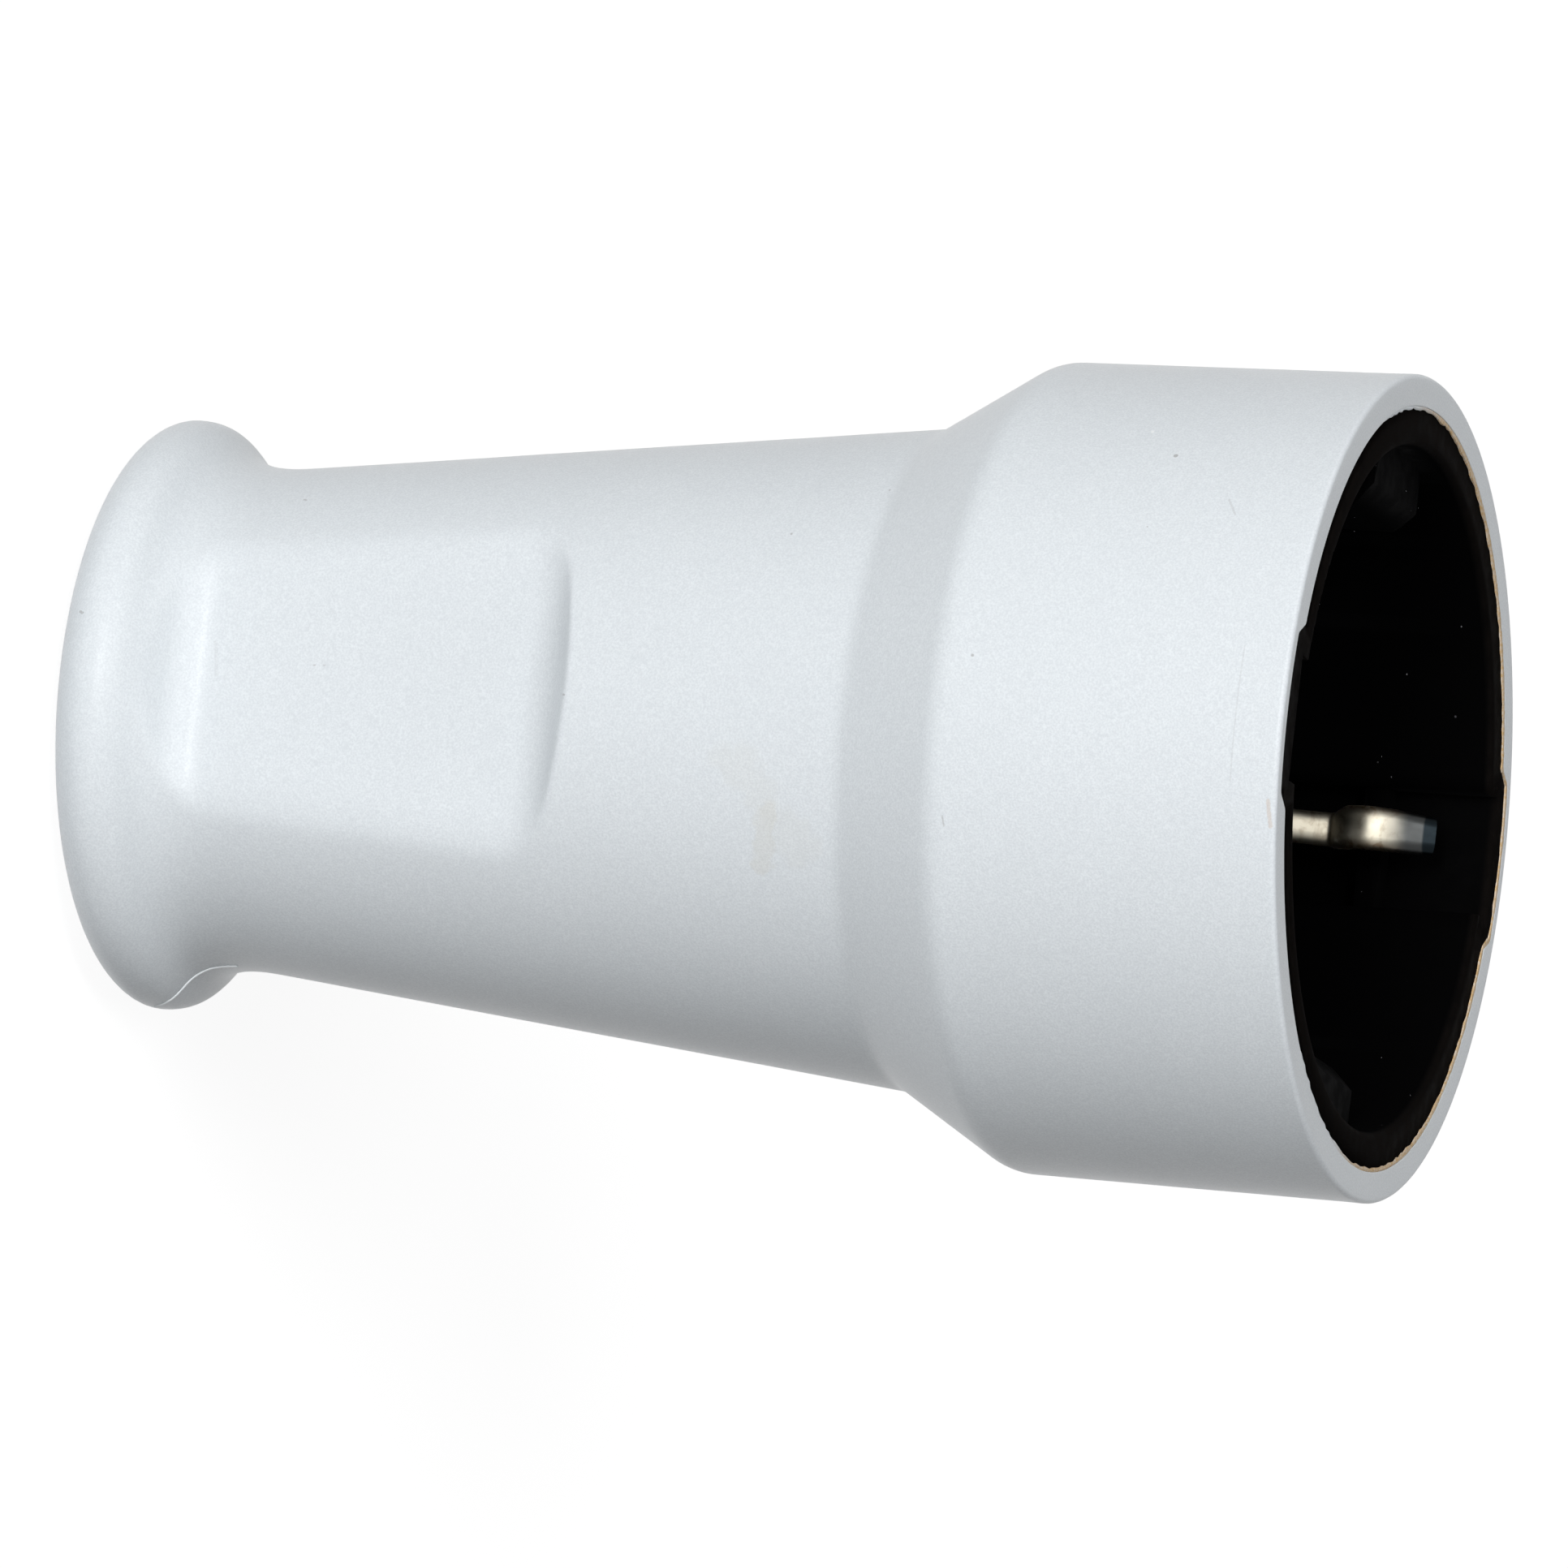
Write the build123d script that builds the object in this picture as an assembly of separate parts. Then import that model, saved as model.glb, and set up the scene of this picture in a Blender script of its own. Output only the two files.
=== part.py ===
from build123d import *
import math
import os

# Inline socket for a round earthed plug, standing on its cable end.
# Millimetres. Origin at the middle of the rear face, +Z along the cord axis to the mouth.
# The pins lie on the X axis, the earth contacts and the finger flats on the Y axis.

# Plug well and insert
well_radius = 19.7
well_depth = 17.5
insert_wall = 2.22
floor_thickness = 2.5
rim_recess = 0.1
rim_round = 0.45
pin_spacing = 19.0
pin_hole_radius = 2.6
pin_hole_lead = 0.6
guide_rib_reach = 4.0
guide_rib_width = 9.0
guide_rib_start = 2.0
guide_rib_lead = 1.2
guide_rib_round = 0.6
guide_rib_wall = 1.4
channel_width = 7.2
channel_depth = 1.25
channel_slot_reach = 4.3
rest_depth = 6.2
rest_length = 1.9
rest_height = 1.0
rest_chamfer = 0.33
key_width = 9.8
key_height = 0.95
key_length = 6.0
key_side_run = 0.57
key_round = 0.4
snap_height = 0.3
snap_width = 1.6
snap_crest = 0.54
snap_from_ledge = 8.0
boss_radius = 4.9
boss_length = 3.0

# Hood, one soft moulding
hood_wall = 1.83
grip_wall = 2.1
collar_margin = 0.74
collar_draft = 0.41
shoulder_length = 6.78
cone_length = 39.01
cone_rise = 4.44
neck_z = 10.27
bead_rise = 3.09
bead_over_neck = 2.43
bead_handle = 3.0
neck_handle = 5.93
shoulder_fillet = 2.2
shoulder_round = 2.4
mouth_round = 0.3
ledge_width = 2.5
cavity_floor_z = 7.6
cavity_round = 1.5
entry_radius = 5.6
entry_lip = 4.0
rear_ring_width = 2.11

# Finger flats sunk in the grip
flat_start_z = 7.65
flat_end_z = 30.3
flat_sink = 2.01
flat_slope = 4.2
flat_end_slope = 57.0
flat_round = 2.0

# Clearances
insert_gap = 0.05
key_gap = 0.08
carrier_gap = 0.4
contact_gap = 0.15
end_gap = 0.3
shank_gap = 0.05
nut_gap = 0.08
head_gap = 0.35

# Line contacts, turned
pin_radius = 2.4
pin_length = 19.0
pin_end_gap = 0.5
sleeve_wall = 0.8
sleeve_slot = 0.8
sleeve_slot_length = 10.0
contact_head_radius = 3.8
contact_head_length = 8.5
contact_flat_depth = 0.8
wire_hole_radius = 1.6
wire_hole_depth = 7.0
line_screw_from_back = 4.7
ring_groove = 0.3
ring_thickness = 0.6
ring_width = 1.4
ring_from_front = 2.4
ring_split = 1.0

# Earth bow, one folded strip
bow_thickness = 1.2
bow_bridge_width = 5.0
bow_joggle = 5.9
bow_arm_width = 2.4
bow_arm_offset = 0.5
bow_arm_reach = 1.6
bow_crest_reach = 4.1
bow_tip_reach = 2.3
bow_knee_depth = 8.2
bow_crest_depth = 5.2
bow_tip_depth = 2.3
bow_rise = 5.2
bow_bend = 1.8
bow_crest_bend = 2.4
bow_edge = 0.55

# Contact carrier
barrel_wall = 1.3
flange_thickness = 2.2
carrier_lip = 1.5
hub_half = 4.6
hub_length = 8.4
web_half = 0.9
plate_thickness = 2.2
plate_half = 11.2
tail_length = 11.4
wire_funnel_radius = 2.6

# Screws, washers, nuts and plates
line_screw_radius = 1.6
line_screw_head_radius = 2.5
line_screw_head = 1.9
earth_screw_radius = 1.95
earth_screw_head_radius = 3.4
earth_screw_head = 2.4
earth_screw_from_end = 2.8
earth_plate_side = 7.6
earth_plate_thickness = 1.2
earth_tip = 1.6
centre_screw_radius = 1.95
centre_screw_head_radius = 3.4
centre_screw_head = 2.0
centre_screw_tip = 1.0
recess_radius = 3.9
recess_depth = 3.1
washer_radius = 3.5
washer_thickness = 0.8
washer_split = 0.8
centre_nut_side = 7.0
centre_nut_thickness = 3.0
slot_width = 0.8
slot_depth = 1.0
head_round = 0.35
nut_chamfer = 0.35
cord_screw_radius = 1.5
cord_screw_head_radius = 2.45
cord_screw_head = 1.8
cord_nut_side = 5.0
cord_nut_thickness = 1.8

# Cord clamp
cord_radius = 4.3
clamp_width = 7.0
clamp_from_tail_end = 2.0
clamp_split_y = 0.6
saddle_wall = 1.7
saddle_ear = 2.2
saddle_ear_end = 2.4
cradle_wall = 1.3
cradle_round = 0.6
ridge_height = 0.5
ridge_width = 0.9
ridge_spacing = 3.5
cord_screw_gap = 0.2
clamp_room = 0.36

# Levels along the axis, worked out from the sizes above
pin_x = pin_spacing / 2
insert_radius = well_radius + insert_wall
bore_radius = insert_radius + insert_gap
mouth_radius = bore_radius + hood_wall
collar_radius = mouth_radius - collar_draft
cone_end_z = neck_z + cone_length
collar_z = cone_end_z + shoulder_length
ledge_z = collar_z + collar_margin
floor_z = ledge_z + floor_thickness
mouth_z = floor_z + well_depth
rim_z = mouth_z - rim_recess
slot_inner_y = well_radius - channel_slot_reach
bow_arm_y = well_radius - bow_arm_reach
bow_crest_y = well_radius - bow_crest_reach
bow_tip_y = well_radius - bow_tip_reach
bow_bridge_half = bow_arm_y - bow_joggle
earth_screw_y = earth_screw_from_end - bow_bridge_half
boss_z = ledge_z - boss_length
bow_back_z = boss_z - bow_thickness
hub_z = bow_back_z - hub_length
contact_front_z = ledge_z - end_gap
sleeve_radius = pin_radius + sleeve_wall
head_front_z = floor_z - pin_length - pin_end_gap
head_back_z = head_front_z - contact_head_length
carrier_back_z = head_back_z - carrier_lip
tail_z = carrier_back_z - tail_length
clamp_z = tail_z + clamp_from_tail_end
clamp_middle_z = clamp_z + clamp_width / 2
barrel_bore = contact_head_radius + contact_gap
barrel_radius = barrel_bore + barrel_wall
plate_inner_y = cord_radius + cradle_wall
plate_outer_y = plate_inner_y + plate_thickness
cord_screw_x = cord_radius + saddle_wall + cord_screw_head_radius + contact_gap
cord_nut_corner = math.hypot(cord_screw_x + cord_nut_side / 2, plate_outer_y)
cord_nut_low_z = clamp_middle_z - cord_nut_side / 2
cone_taper = cone_rise / cone_length
neck_radius = cord_nut_corner + clamp_room + grip_wall - (cord_nut_low_z - neck_z) * cone_taper
cone_end_radius = neck_radius + cone_rise
bead_radius = neck_radius + bead_over_neck
bead_reach = bead_radius - entry_radius - entry_lip - rear_ring_width
flat_distance = neck_radius - flat_sink
line_screw_z = head_back_z + line_screw_from_back
nut_face_z = hub_z + centre_nut_thickness
cut_past = 1.0


def bar(x, y, z):
    """A block from the lowest and highest x, y and z."""
    size = [x[1] - x[0], y[1] - y[0], z[1] - z[0]]
    middle = (sum(x) / 2, sum(y) / 2, sum(z) / 2)
    return Pos(*middle) * Box(*size)


def rod(radius, low, high, x=0.0, y=0.0):
    """A cylinder along Z between two levels."""
    return Pos(x, y, (low + high) / 2) * Cylinder(radius, high - low)


def cross_rod(radius, low, high, x, z):
    """A cylinder along Y between two places."""
    return Pos(x, (low + high) / 2, z) * Rot(X=90) * Cylinder(radius, high - low)


def turned(*points):
    """A body of revolution about Z from (radius, z) corners."""
    return revolve(Plane.XZ * make_face(Polyline(*points, close=True)), Axis.Z)


def both_sides(piece):
    """A piece and its copy turned half a turn about the axis."""
    return piece + Rot(Z=180) * piece


def cone_wall(z):
    """Inner radius of the hood at a level behind the ledge."""
    straight = neck_radius + (z - neck_z) * cone_taper - grip_wall
    if z <= cone_end_z:
        return straight
    corner = cone_end_radius - grip_wall
    rise = bore_radius - ledge_width - corner
    return corner + rise * (z - cone_end_z) / (ledge_z - cone_end_z)


def hood_body():
    """Outside of the hood: bead, neck curve, cone, shoulder and collar in one outline."""
    bead_centre = (bead_radius - bead_reach, bead_rise)
    bead = EllipticalCenterArc(bead_centre, bead_reach, bead_rise, start_angle=-90, arc_size=90)
    neck = Bezier(
        (bead_radius, bead_rise),
        (bead_radius, bead_rise + bead_handle),
        (neck_radius - neck_handle * cone_taper, neck_z - neck_handle),
        (neck_radius, neck_z),
    )
    front = FilletPolyline(
        (neck_radius, neck_z),
        (cone_end_radius, cone_end_z),
        (collar_radius, collar_z),
        (mouth_radius, mouth_z),
        (0, mouth_z),
        radius=[shoulder_fillet, shoulder_round, mouth_round],
    )
    back = Polyline((0, mouth_z), (0, 0), (bead_centre[0], 0))
    outline = make_face(Curve() + [bead, neck, front, back])
    return revolve(Plane.XZ * outline, Axis.Z)


def finger_flat(deeper):
    """Space in front of a finger flat on the -Y side, grown by a wall for the inside of the hood."""
    shift = deeper * math.tan(math.radians(flat_end_slope / 2))
    start = flat_start_z - shift
    end = flat_end_z + shift
    rise = math.tan(math.radians(flat_slope))
    steep = math.tan(math.radians(flat_end_slope))
    reach = mouth_radius + flat_distance
    near = flat_distance - deeper + (start - flat_start_z) * rise
    far = flat_distance - deeper + (end - flat_start_z) * rise
    outline = make_face(
        Polyline(
            (-reach, start - (reach - near) / steep),
            (-near, start),
            (-far, end),
            (-reach, end + (reach - far) / steep),
            close=True,
        )
    )
    inner = outline.vertices().sort_by(Axis.X)[-2:]
    outline = fillet(inner, flat_round + deeper)
    return extrude(Plane.YZ * outline, mouth_radius, both=True)


def hood_cavity():
    """Hollow of the grip, flattened behind the finger flats."""
    outline = make_face(
        Polyline(
            (0, cavity_floor_z),
            (cone_wall(cavity_floor_z), cavity_floor_z),
            (cone_wall(cone_end_z), cone_end_z),
            (cone_wall(ledge_z), ledge_z),
            (0, ledge_z),
            close=True,
        )
    )
    corner = outline.vertices().filter_by(lambda v: v.X > 0).sort_by(Axis.Y)[0]
    hollow = revolve(Plane.XZ * fillet(corner, cavity_round), Axis.Z)
    return hollow - both_sides(finger_flat(grip_wall))


def cable_entry():
    """Flared way in for the cord through the rear wall."""
    lip = CenterArc((entry_radius + entry_lip, entry_lip), entry_lip, 180, 90)
    rest = Polyline(
        (entry_radius + entry_lip, 0),
        (0, 0),
        (0, cavity_floor_z + cut_past),
        (entry_radius, cavity_floor_z + cut_past),
        (entry_radius, entry_lip),
    )
    return revolve(Plane.XZ * make_face(Curve() + [lip, rest]), Axis.Z)


def snap_rib(grow):
    """Ring round the insert that the soft hood closes over, grown by a clearance for the groove."""
    middle = ledge_z + snap_from_ledge
    half = snap_width / 2 + grow
    crest = snap_crest / 2 + grow
    top = insert_radius + snap_height + grow
    inside = insert_radius - insert_wall / 2
    return turned(
        (inside, middle - half),
        (insert_radius, middle - half),
        (top, middle - crest),
        (top, middle + crest),
        (insert_radius, middle + half),
        (inside, middle + half),
    )


def keyed_rim(grow, body_radius, top):
    """Ring with two short lugs with sloped sides, grown by a clearance for its way in the hood."""
    half = key_width / 2 + grow
    low = rim_z - key_length - grow
    # The sides run on by the lug's own height below its foot and above its crest.
    foot_y = math.sqrt(body_radius**2 - half**2)
    wide = half + key_side_run * 3 / 2
    narrow = half - key_side_run * 3 / 2
    inner_y = foot_y - key_height
    outer_y = foot_y + key_height * 2
    corners = [(-wide, inner_y), (-narrow, outer_y), (narrow, outer_y), (wide, inner_y)]
    lug = make_face(Polyline(*corners, close=True))
    lug &= Circle(insert_radius + key_height + grow)
    outline = Circle(body_radius) + lug + Rot(Z=180) * lug
    outline = fillet(outline.vertices(), key_round)
    ring = Pos(0, 0, low) * extrude(outline, top - low)
    return ring - rod(body_radius - insert_wall / 2, low, top)


def housing():
    bore = rod(bore_radius, ledge_z, mouth_z + cut_past)
    hood = hood_body() - both_sides(finger_flat(0)) - hood_cavity() - bore
    hood -= keyed_rim(key_gap, bore_radius, mouth_z)
    return hood - snap_rib(insert_gap) - cable_entry()


def guide_rib():
    """Rib on the +X side of the well with a sloped front."""
    inner = well_radius - guide_rib_reach
    outer = well_radius + insert_wall / 2
    front = mouth_z - guide_rib_start
    outline = make_face(
        Polyline(
            (inner, floor_z),
            (inner, front - guide_rib_lead),
            (inner + guide_rib_lead, front),
            (outer, front),
            (outer, floor_z),
            close=True,
        )
    )
    rib = extrude(Plane.XZ * outline, guide_rib_width / 2, both=True)
    long_edges = rib.edges().filter_by(Axis.Z).group_by(Axis.X)[0]
    return fillet(long_edges, guide_rib_round)


def rib_core():
    """Hollow in the back of the +X guide rib that keeps its walls even."""
    half = guide_rib_width / 2 - guide_rib_wall
    x = (well_radius - guide_rib_reach + guide_rib_wall, insert_radius - guide_rib_wall)
    top = mouth_z - guide_rib_start - guide_rib_lead - guide_rib_wall
    return bar(x, (-half, half), (ledge_z, top))


def socket_insert():
    cup = rod(insert_radius, ledge_z, rim_z) + snap_rib(0)
    cup += rod(boss_radius, boss_z, ledge_z)
    cup -= rod(well_radius, floor_z, mouth_z)
    rim_edges = cup.edges().filter_by(GeomType.CIRCLE).group_by(Axis.Z)[-1]
    cup = fillet(rim_edges.sort_by(SortBy.RADIUS)[0], rim_round)
    cup += keyed_rim(0, insert_radius, rim_z)
    cup += both_sides(guide_rib())
    cup -= both_sides(rib_core())
    half = channel_width / 2
    channel_y = well_radius + channel_depth
    cup -= both_sides(bar((-half, half), (slot_inner_y, channel_y), (ledge_z - cut_past, mouth_z)))
    rest_top = mouth_z - rest_depth
    rest = bar((-half, half), (channel_y - rest_height, channel_y), (rest_top - rest_length, rest_top))
    cup += both_sides(chamfer(rest.edges().group_by(Axis.Y)[0].filter_by(Axis.X), rest_chamfer))
    for side in (-1, 1):
        cup -= rod(pin_hole_radius, ledge_z - cut_past, mouth_z, side * pin_x)
        lead = turned(
            (0, floor_z - pin_hole_lead - pin_hole_radius),
            (pin_hole_radius + pin_hole_lead, floor_z),
            (0, floor_z),
        )
        cup -= Pos(side * pin_x, 0, 0) * lead
    cup -= rod(recess_radius, floor_z - recess_depth, mouth_z)
    return cup - rod(centre_screw_radius + head_gap, boss_z - cut_past, floor_z)


def line_contact(side_x):
    body = rod(sleeve_radius, head_front_z, contact_front_z)
    body += rod(contact_head_radius, head_back_z, head_front_z)
    body -= rod(pin_radius, head_front_z, contact_front_z)
    slot_back = contact_front_z - sleeve_slot_length
    for turn in (0, 90):
        x = (-sleeve_slot / 2, sleeve_slot / 2)
        cut = bar(x, (-barrel_radius, barrel_radius), (slot_back, mouth_z))
        body -= Rot(Z=45 + turn) * cut
    groove_top = contact_front_z - ring_from_front
    groove = rod(barrel_radius, groove_top - ring_width, groove_top)
    body -= groove - rod(sleeve_radius - ring_groove, groove_top - ring_width, groove_top)
    flat_y = contact_head_radius - contact_flat_depth
    body -= bar((-barrel_radius, barrel_radius), (-barrel_radius, -flat_y), (head_back_z, head_front_z))
    body -= rod(wire_hole_radius, head_back_z, head_back_z + wire_hole_depth)
    body -= cross_rod(line_screw_radius + shank_gap, -barrel_radius, 0, 0, line_screw_z)
    return Pos(side_x, 0, 0) * body


def contact_ring(x):
    top = contact_front_z - ring_from_front
    inner = sleeve_radius - ring_groove
    ring = rod(inner + ring_thickness, top - ring_width, top) - rod(inner, top - ring_width, top)
    ring -= bar((-ring_split / 2, ring_split / 2), (0, barrel_radius), (top - ring_width, top))
    return Pos(x, 0, 0) * ring


def slotted_head(radius, height):
    """Cheese head standing on z = 0 with a driver slot in its top."""
    head = rod(radius, 0, height)
    head = fillet(head.edges().group_by(Axis.Z)[-1], head_round)
    half = slot_width / 2
    return head - bar((-half, half), (-radius, radius), (height - slot_depth, height))


def line_screw(x):
    seat = contact_head_radius - contact_flat_depth
    screw = slotted_head(line_screw_head_radius, line_screw_head)
    screw += rod(line_screw_radius, -seat + shank_gap, 0)
    return Pos(x, -seat, line_screw_z) * Rot(X=90) * screw


def bow_arm():
    """Arm on the +Y side: joggle through the floor, knee, crest that grips, tip bent back out."""
    bridge_z = boss_z - bow_thickness / 2
    path = FilletPolyline(
        (bow_bridge_half - bow_bridge_width / 2, bridge_z),
        (bow_bridge_half, bridge_z),
        (bow_arm_y, bridge_z + bow_rise),
        (bow_arm_y, mouth_z - bow_knee_depth),
        (bow_crest_y, mouth_z - bow_crest_depth),
        (bow_tip_y, mouth_z - bow_tip_depth),
        radius=[bow_bend, bow_bend, bow_bend, bow_crest_bend],
    )
    strip = make_face(offset(path, bow_thickness / 2, side=Side.BOTH, kind=Kind.TANGENT))
    arm = extrude(Plane.YZ * strip, bow_arm_width / 2, both=True)
    flanks = arm.faces().group_by(Axis.X)
    return fillet(flanks[0].edges() + flanks[-1].edges(), bow_edge)


def earth_bow():
    bridge = bar(
        (-bow_bridge_width / 2, bow_bridge_width / 2),
        (-bow_bridge_half, bow_bridge_half),
        (bow_back_z, boss_z),
    )
    bow = bridge + both_sides(Pos(-bow_arm_offset, 0, 0) * bow_arm())
    bow -= rod(centre_screw_radius + head_gap, bow_back_z, boss_z)
    return bow - rod(earth_screw_radius + shank_gap, bow_back_z, boss_z, 0, earth_screw_y)


def carrier_envelope():
    """Space behind the insert that the hood leaves for the carrier."""
    return turned(
        (0, tail_z),
        (cone_wall(tail_z) - carrier_gap, tail_z),
        (cone_wall(cone_end_z) - carrier_gap, cone_end_z),
        (cone_wall(ledge_z) - carrier_gap, ledge_z),
        (0, ledge_z),
    )


def contact_carrier():
    body = rod(mouth_radius, bow_back_z - flange_thickness, bow_back_z)
    for x in (-pin_x, pin_x):
        body += rod(barrel_radius, carrier_back_z, ledge_z, x)
    body += bar((-hub_half, hub_half), (-hub_half, plate_outer_y), (hub_z, bow_back_z))
    body += bar((-web_half, web_half), (-barrel_radius, plate_outer_y), (carrier_back_z, bow_back_z))
    body += bar((-plate_half, plate_half), (plate_inner_y, plate_outer_y), (tail_z, bow_back_z))
    body &= carrier_envelope()
    for x in (-pin_x, pin_x):
        body -= rod(barrel_bore, head_back_z, ledge_z, x)
        body -= rod(wire_funnel_radius, carrier_back_z, head_back_z, x)
        window = (x - line_screw_head_radius - head_gap, x + line_screw_head_radius + head_gap)
        height = line_screw_head_radius + head_gap
        body -= bar(window, (-mouth_radius, 0), (line_screw_z - height, line_screw_z + height))
    plate_half_side = earth_plate_side / 2 + head_gap
    earth_y = (earth_screw_y - plate_half_side, earth_screw_y + plate_half_side)
    body -= bar((-plate_half_side, plate_half_side), earth_y, (carrier_back_z, bow_back_z))
    body -= rod(boss_radius + contact_gap, boss_z, ledge_z)
    body -= rod(centre_screw_radius + head_gap, carrier_back_z, ledge_z)
    nut_half = centre_nut_side / 2 + nut_gap
    body -= bar((-nut_half, nut_half), (-nut_half, nut_half), (carrier_back_z, nut_face_z))
    body -= rod(cord_radius, tail_z, carrier_back_z)
    nut_half = cord_nut_side / 2 + nut_gap
    for x in (-cord_screw_x, cord_screw_x):
        body -= cross_rod(cord_screw_radius + cord_screw_gap, 0, mouth_radius, x, clamp_middle_z)
        pocket_y = (plate_outer_y - cord_nut_thickness, mouth_radius)
        pocket_z = (clamp_middle_z - nut_half, clamp_middle_z + nut_half)
        body -= bar((x - nut_half, x + nut_half), pocket_y, pocket_z)
    return body


def earth_clamp_plate():
    half = earth_plate_side / 2
    y = (earth_screw_y - half, earth_screw_y + half)
    z = (bow_back_z - earth_plate_thickness, bow_back_z)
    plate = bar((-half, half), y, z)
    plate = chamfer(plate.edges().filter_by(Axis.Z), nut_chamfer)
    return plate - rod(earth_screw_radius + head_gap, *z, 0, earth_screw_y)


def earth_screw():
    seat = bow_back_z - earth_plate_thickness
    screw = slotted_head(earth_screw_head_radius, earth_screw_head)
    length = boss_z - seat + earth_tip
    screw += rod(earth_screw_radius, -length, 0)
    return Pos(0, earth_screw_y, seat) * Rot(X=180) * screw


def centre_screw():
    seat = floor_z - recess_depth + washer_thickness
    screw = slotted_head(centre_screw_head_radius, centre_screw_head)
    screw += rod(centre_screw_radius, hub_z - centre_screw_tip - seat, 0)
    return Pos(0, 0, seat) * screw


def centre_lockwasher():
    low = floor_z - recess_depth
    washer = rod(washer_radius, low, low + washer_thickness)
    washer -= rod(centre_screw_radius + shank_gap, low, low + washer_thickness)
    half = washer_split / 2
    return washer - bar((-half, half), (0, recess_radius), (low, low + washer_thickness))


def square_nut(side, thickness, hole):
    """Square nut standing on z = 0 with its four corners taken off."""
    nut = Pos(0, 0, thickness / 2) * Box(side, side, thickness)
    nut = chamfer(nut.edges().filter_by(Axis.Z), nut_chamfer)
    return nut - rod(hole, -cut_past, thickness + cut_past)


def centre_nut():
    nut = square_nut(centre_nut_side, centre_nut_thickness, centre_screw_radius + shank_gap)
    return Pos(0, 0, hub_z) * nut


def cord_nut(x):
    nut = square_nut(cord_nut_side, cord_nut_thickness, cord_screw_radius + shank_gap)
    return Pos(x, plate_outer_y, clamp_middle_z) * Rot(X=90) * nut


def cord_cradle():
    """Block between the carrier's tail and the saddle, with a round seat for the cord."""
    clamp = (clamp_z, clamp_z + clamp_width)
    far = cord_screw_x + saddle_ear_end
    block = bar((-far, far), (clamp_split_y, plate_inner_y), clamp)
    block = fillet(block.edges().filter_by(Axis.Y), cradle_round)
    block -= rod(cord_radius, *clamp)
    for x in (-cord_screw_x, cord_screw_x):
        block -= cross_rod(cord_screw_radius + cord_screw_gap, 0, plate_outer_y, x, clamp_middle_z)
    return block


def cord_saddle():
    """Arch over the cord with an ear each side and two ridges that bite the sheath."""
    clamp = (clamp_z, clamp_z + clamp_width)
    far = cord_screw_x + saddle_ear_end
    ears = bar((-far, far), (clamp_split_y - saddle_ear, clamp_split_y), clamp)
    ears = fillet(ears.edges().filter_by(Axis.Y), cradle_round)
    below = bar((-far, far), (-mouth_radius, clamp_split_y), clamp)
    arch = rod(cord_radius + saddle_wall, *clamp) & below
    saddle = ears + arch - rod(cord_radius, *clamp)
    for middle in (clamp_middle_z - ridge_spacing / 2, clamp_middle_z + ridge_spacing / 2):
        ridge = turned(
            (cord_radius - ridge_height, middle),
            (cord_radius + saddle_wall / 2, middle - ridge_width),
            (cord_radius + saddle_wall / 2, middle + ridge_width),
        )
        saddle += ridge & bar((-far, far), (-mouth_radius, 0), clamp)
    hole = cord_screw_radius + cord_screw_gap
    for x in (-cord_screw_x, cord_screw_x):
        saddle -= cross_rod(hole, -mouth_radius, mouth_radius, x, clamp_middle_z)
    return saddle


def cord_screw(x):
    seat = clamp_split_y - saddle_ear
    screw = slotted_head(cord_screw_head_radius, cord_screw_head)
    screw += rod(cord_screw_radius, seat - plate_outer_y, 0)
    return Pos(x, seat, clamp_middle_z) * Rot(X=90) * screw


os.makedirs("parts", exist_ok=True)
pieces = {
    "housing": housing(),
    "socket_insert": socket_insert(),
    "contact_carrier": contact_carrier(),
    "earth_bow": earth_bow(),
    "earth_clamp_plate": earth_clamp_plate(),
    "earth_screw": earth_screw(),
    "centre_screw": centre_screw(),
    "centre_lockwasher": centre_lockwasher(),
    "centre_nut": centre_nut(),
    "cord_cradle": cord_cradle(),
    "cord_saddle": cord_saddle(),
}
for name, side in (("left", -1), ("right", 1)):
    pieces["line_contact_" + name] = line_contact(side * pin_x)
    pieces["contact_ring_" + name] = contact_ring(side * pin_x)
    pieces["line_screw_" + name] = line_screw(side * pin_x)
    pieces["cord_screw_" + name] = cord_screw(side * cord_screw_x)
    pieces["cord_nut_" + name] = cord_nut(side * cord_screw_x)

for name, piece in pieces.items():
    export_step(piece, "parts/" + name + ".step")
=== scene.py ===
import math

import bmesh
import bpy
import numpy as np
from mathutils import Matrix, Vector, noise


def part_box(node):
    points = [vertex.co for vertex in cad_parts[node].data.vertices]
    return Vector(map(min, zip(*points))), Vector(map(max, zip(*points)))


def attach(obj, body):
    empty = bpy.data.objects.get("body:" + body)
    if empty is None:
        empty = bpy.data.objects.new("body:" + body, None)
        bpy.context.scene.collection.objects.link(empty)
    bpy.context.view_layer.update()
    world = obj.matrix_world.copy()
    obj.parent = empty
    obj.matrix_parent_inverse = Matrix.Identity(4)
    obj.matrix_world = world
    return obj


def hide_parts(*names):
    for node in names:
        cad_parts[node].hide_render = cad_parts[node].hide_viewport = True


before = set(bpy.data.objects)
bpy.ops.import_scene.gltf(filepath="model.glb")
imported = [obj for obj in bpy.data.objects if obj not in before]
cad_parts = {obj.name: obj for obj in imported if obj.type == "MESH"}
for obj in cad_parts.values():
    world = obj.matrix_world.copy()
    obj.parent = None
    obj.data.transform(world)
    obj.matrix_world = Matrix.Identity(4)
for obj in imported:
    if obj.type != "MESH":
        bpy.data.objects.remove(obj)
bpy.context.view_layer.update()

bl_info = {
    "name": "Inline socket connector",
    "version": (1, 0, 0),
    "blender": (4, 5, 0),
    "location": "3D View > Sidebar > Socket",
    "description": "Dresses the pieces of a trailing socket with meshes, finishes, light and a camera",
    "category": "Object",
}

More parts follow.
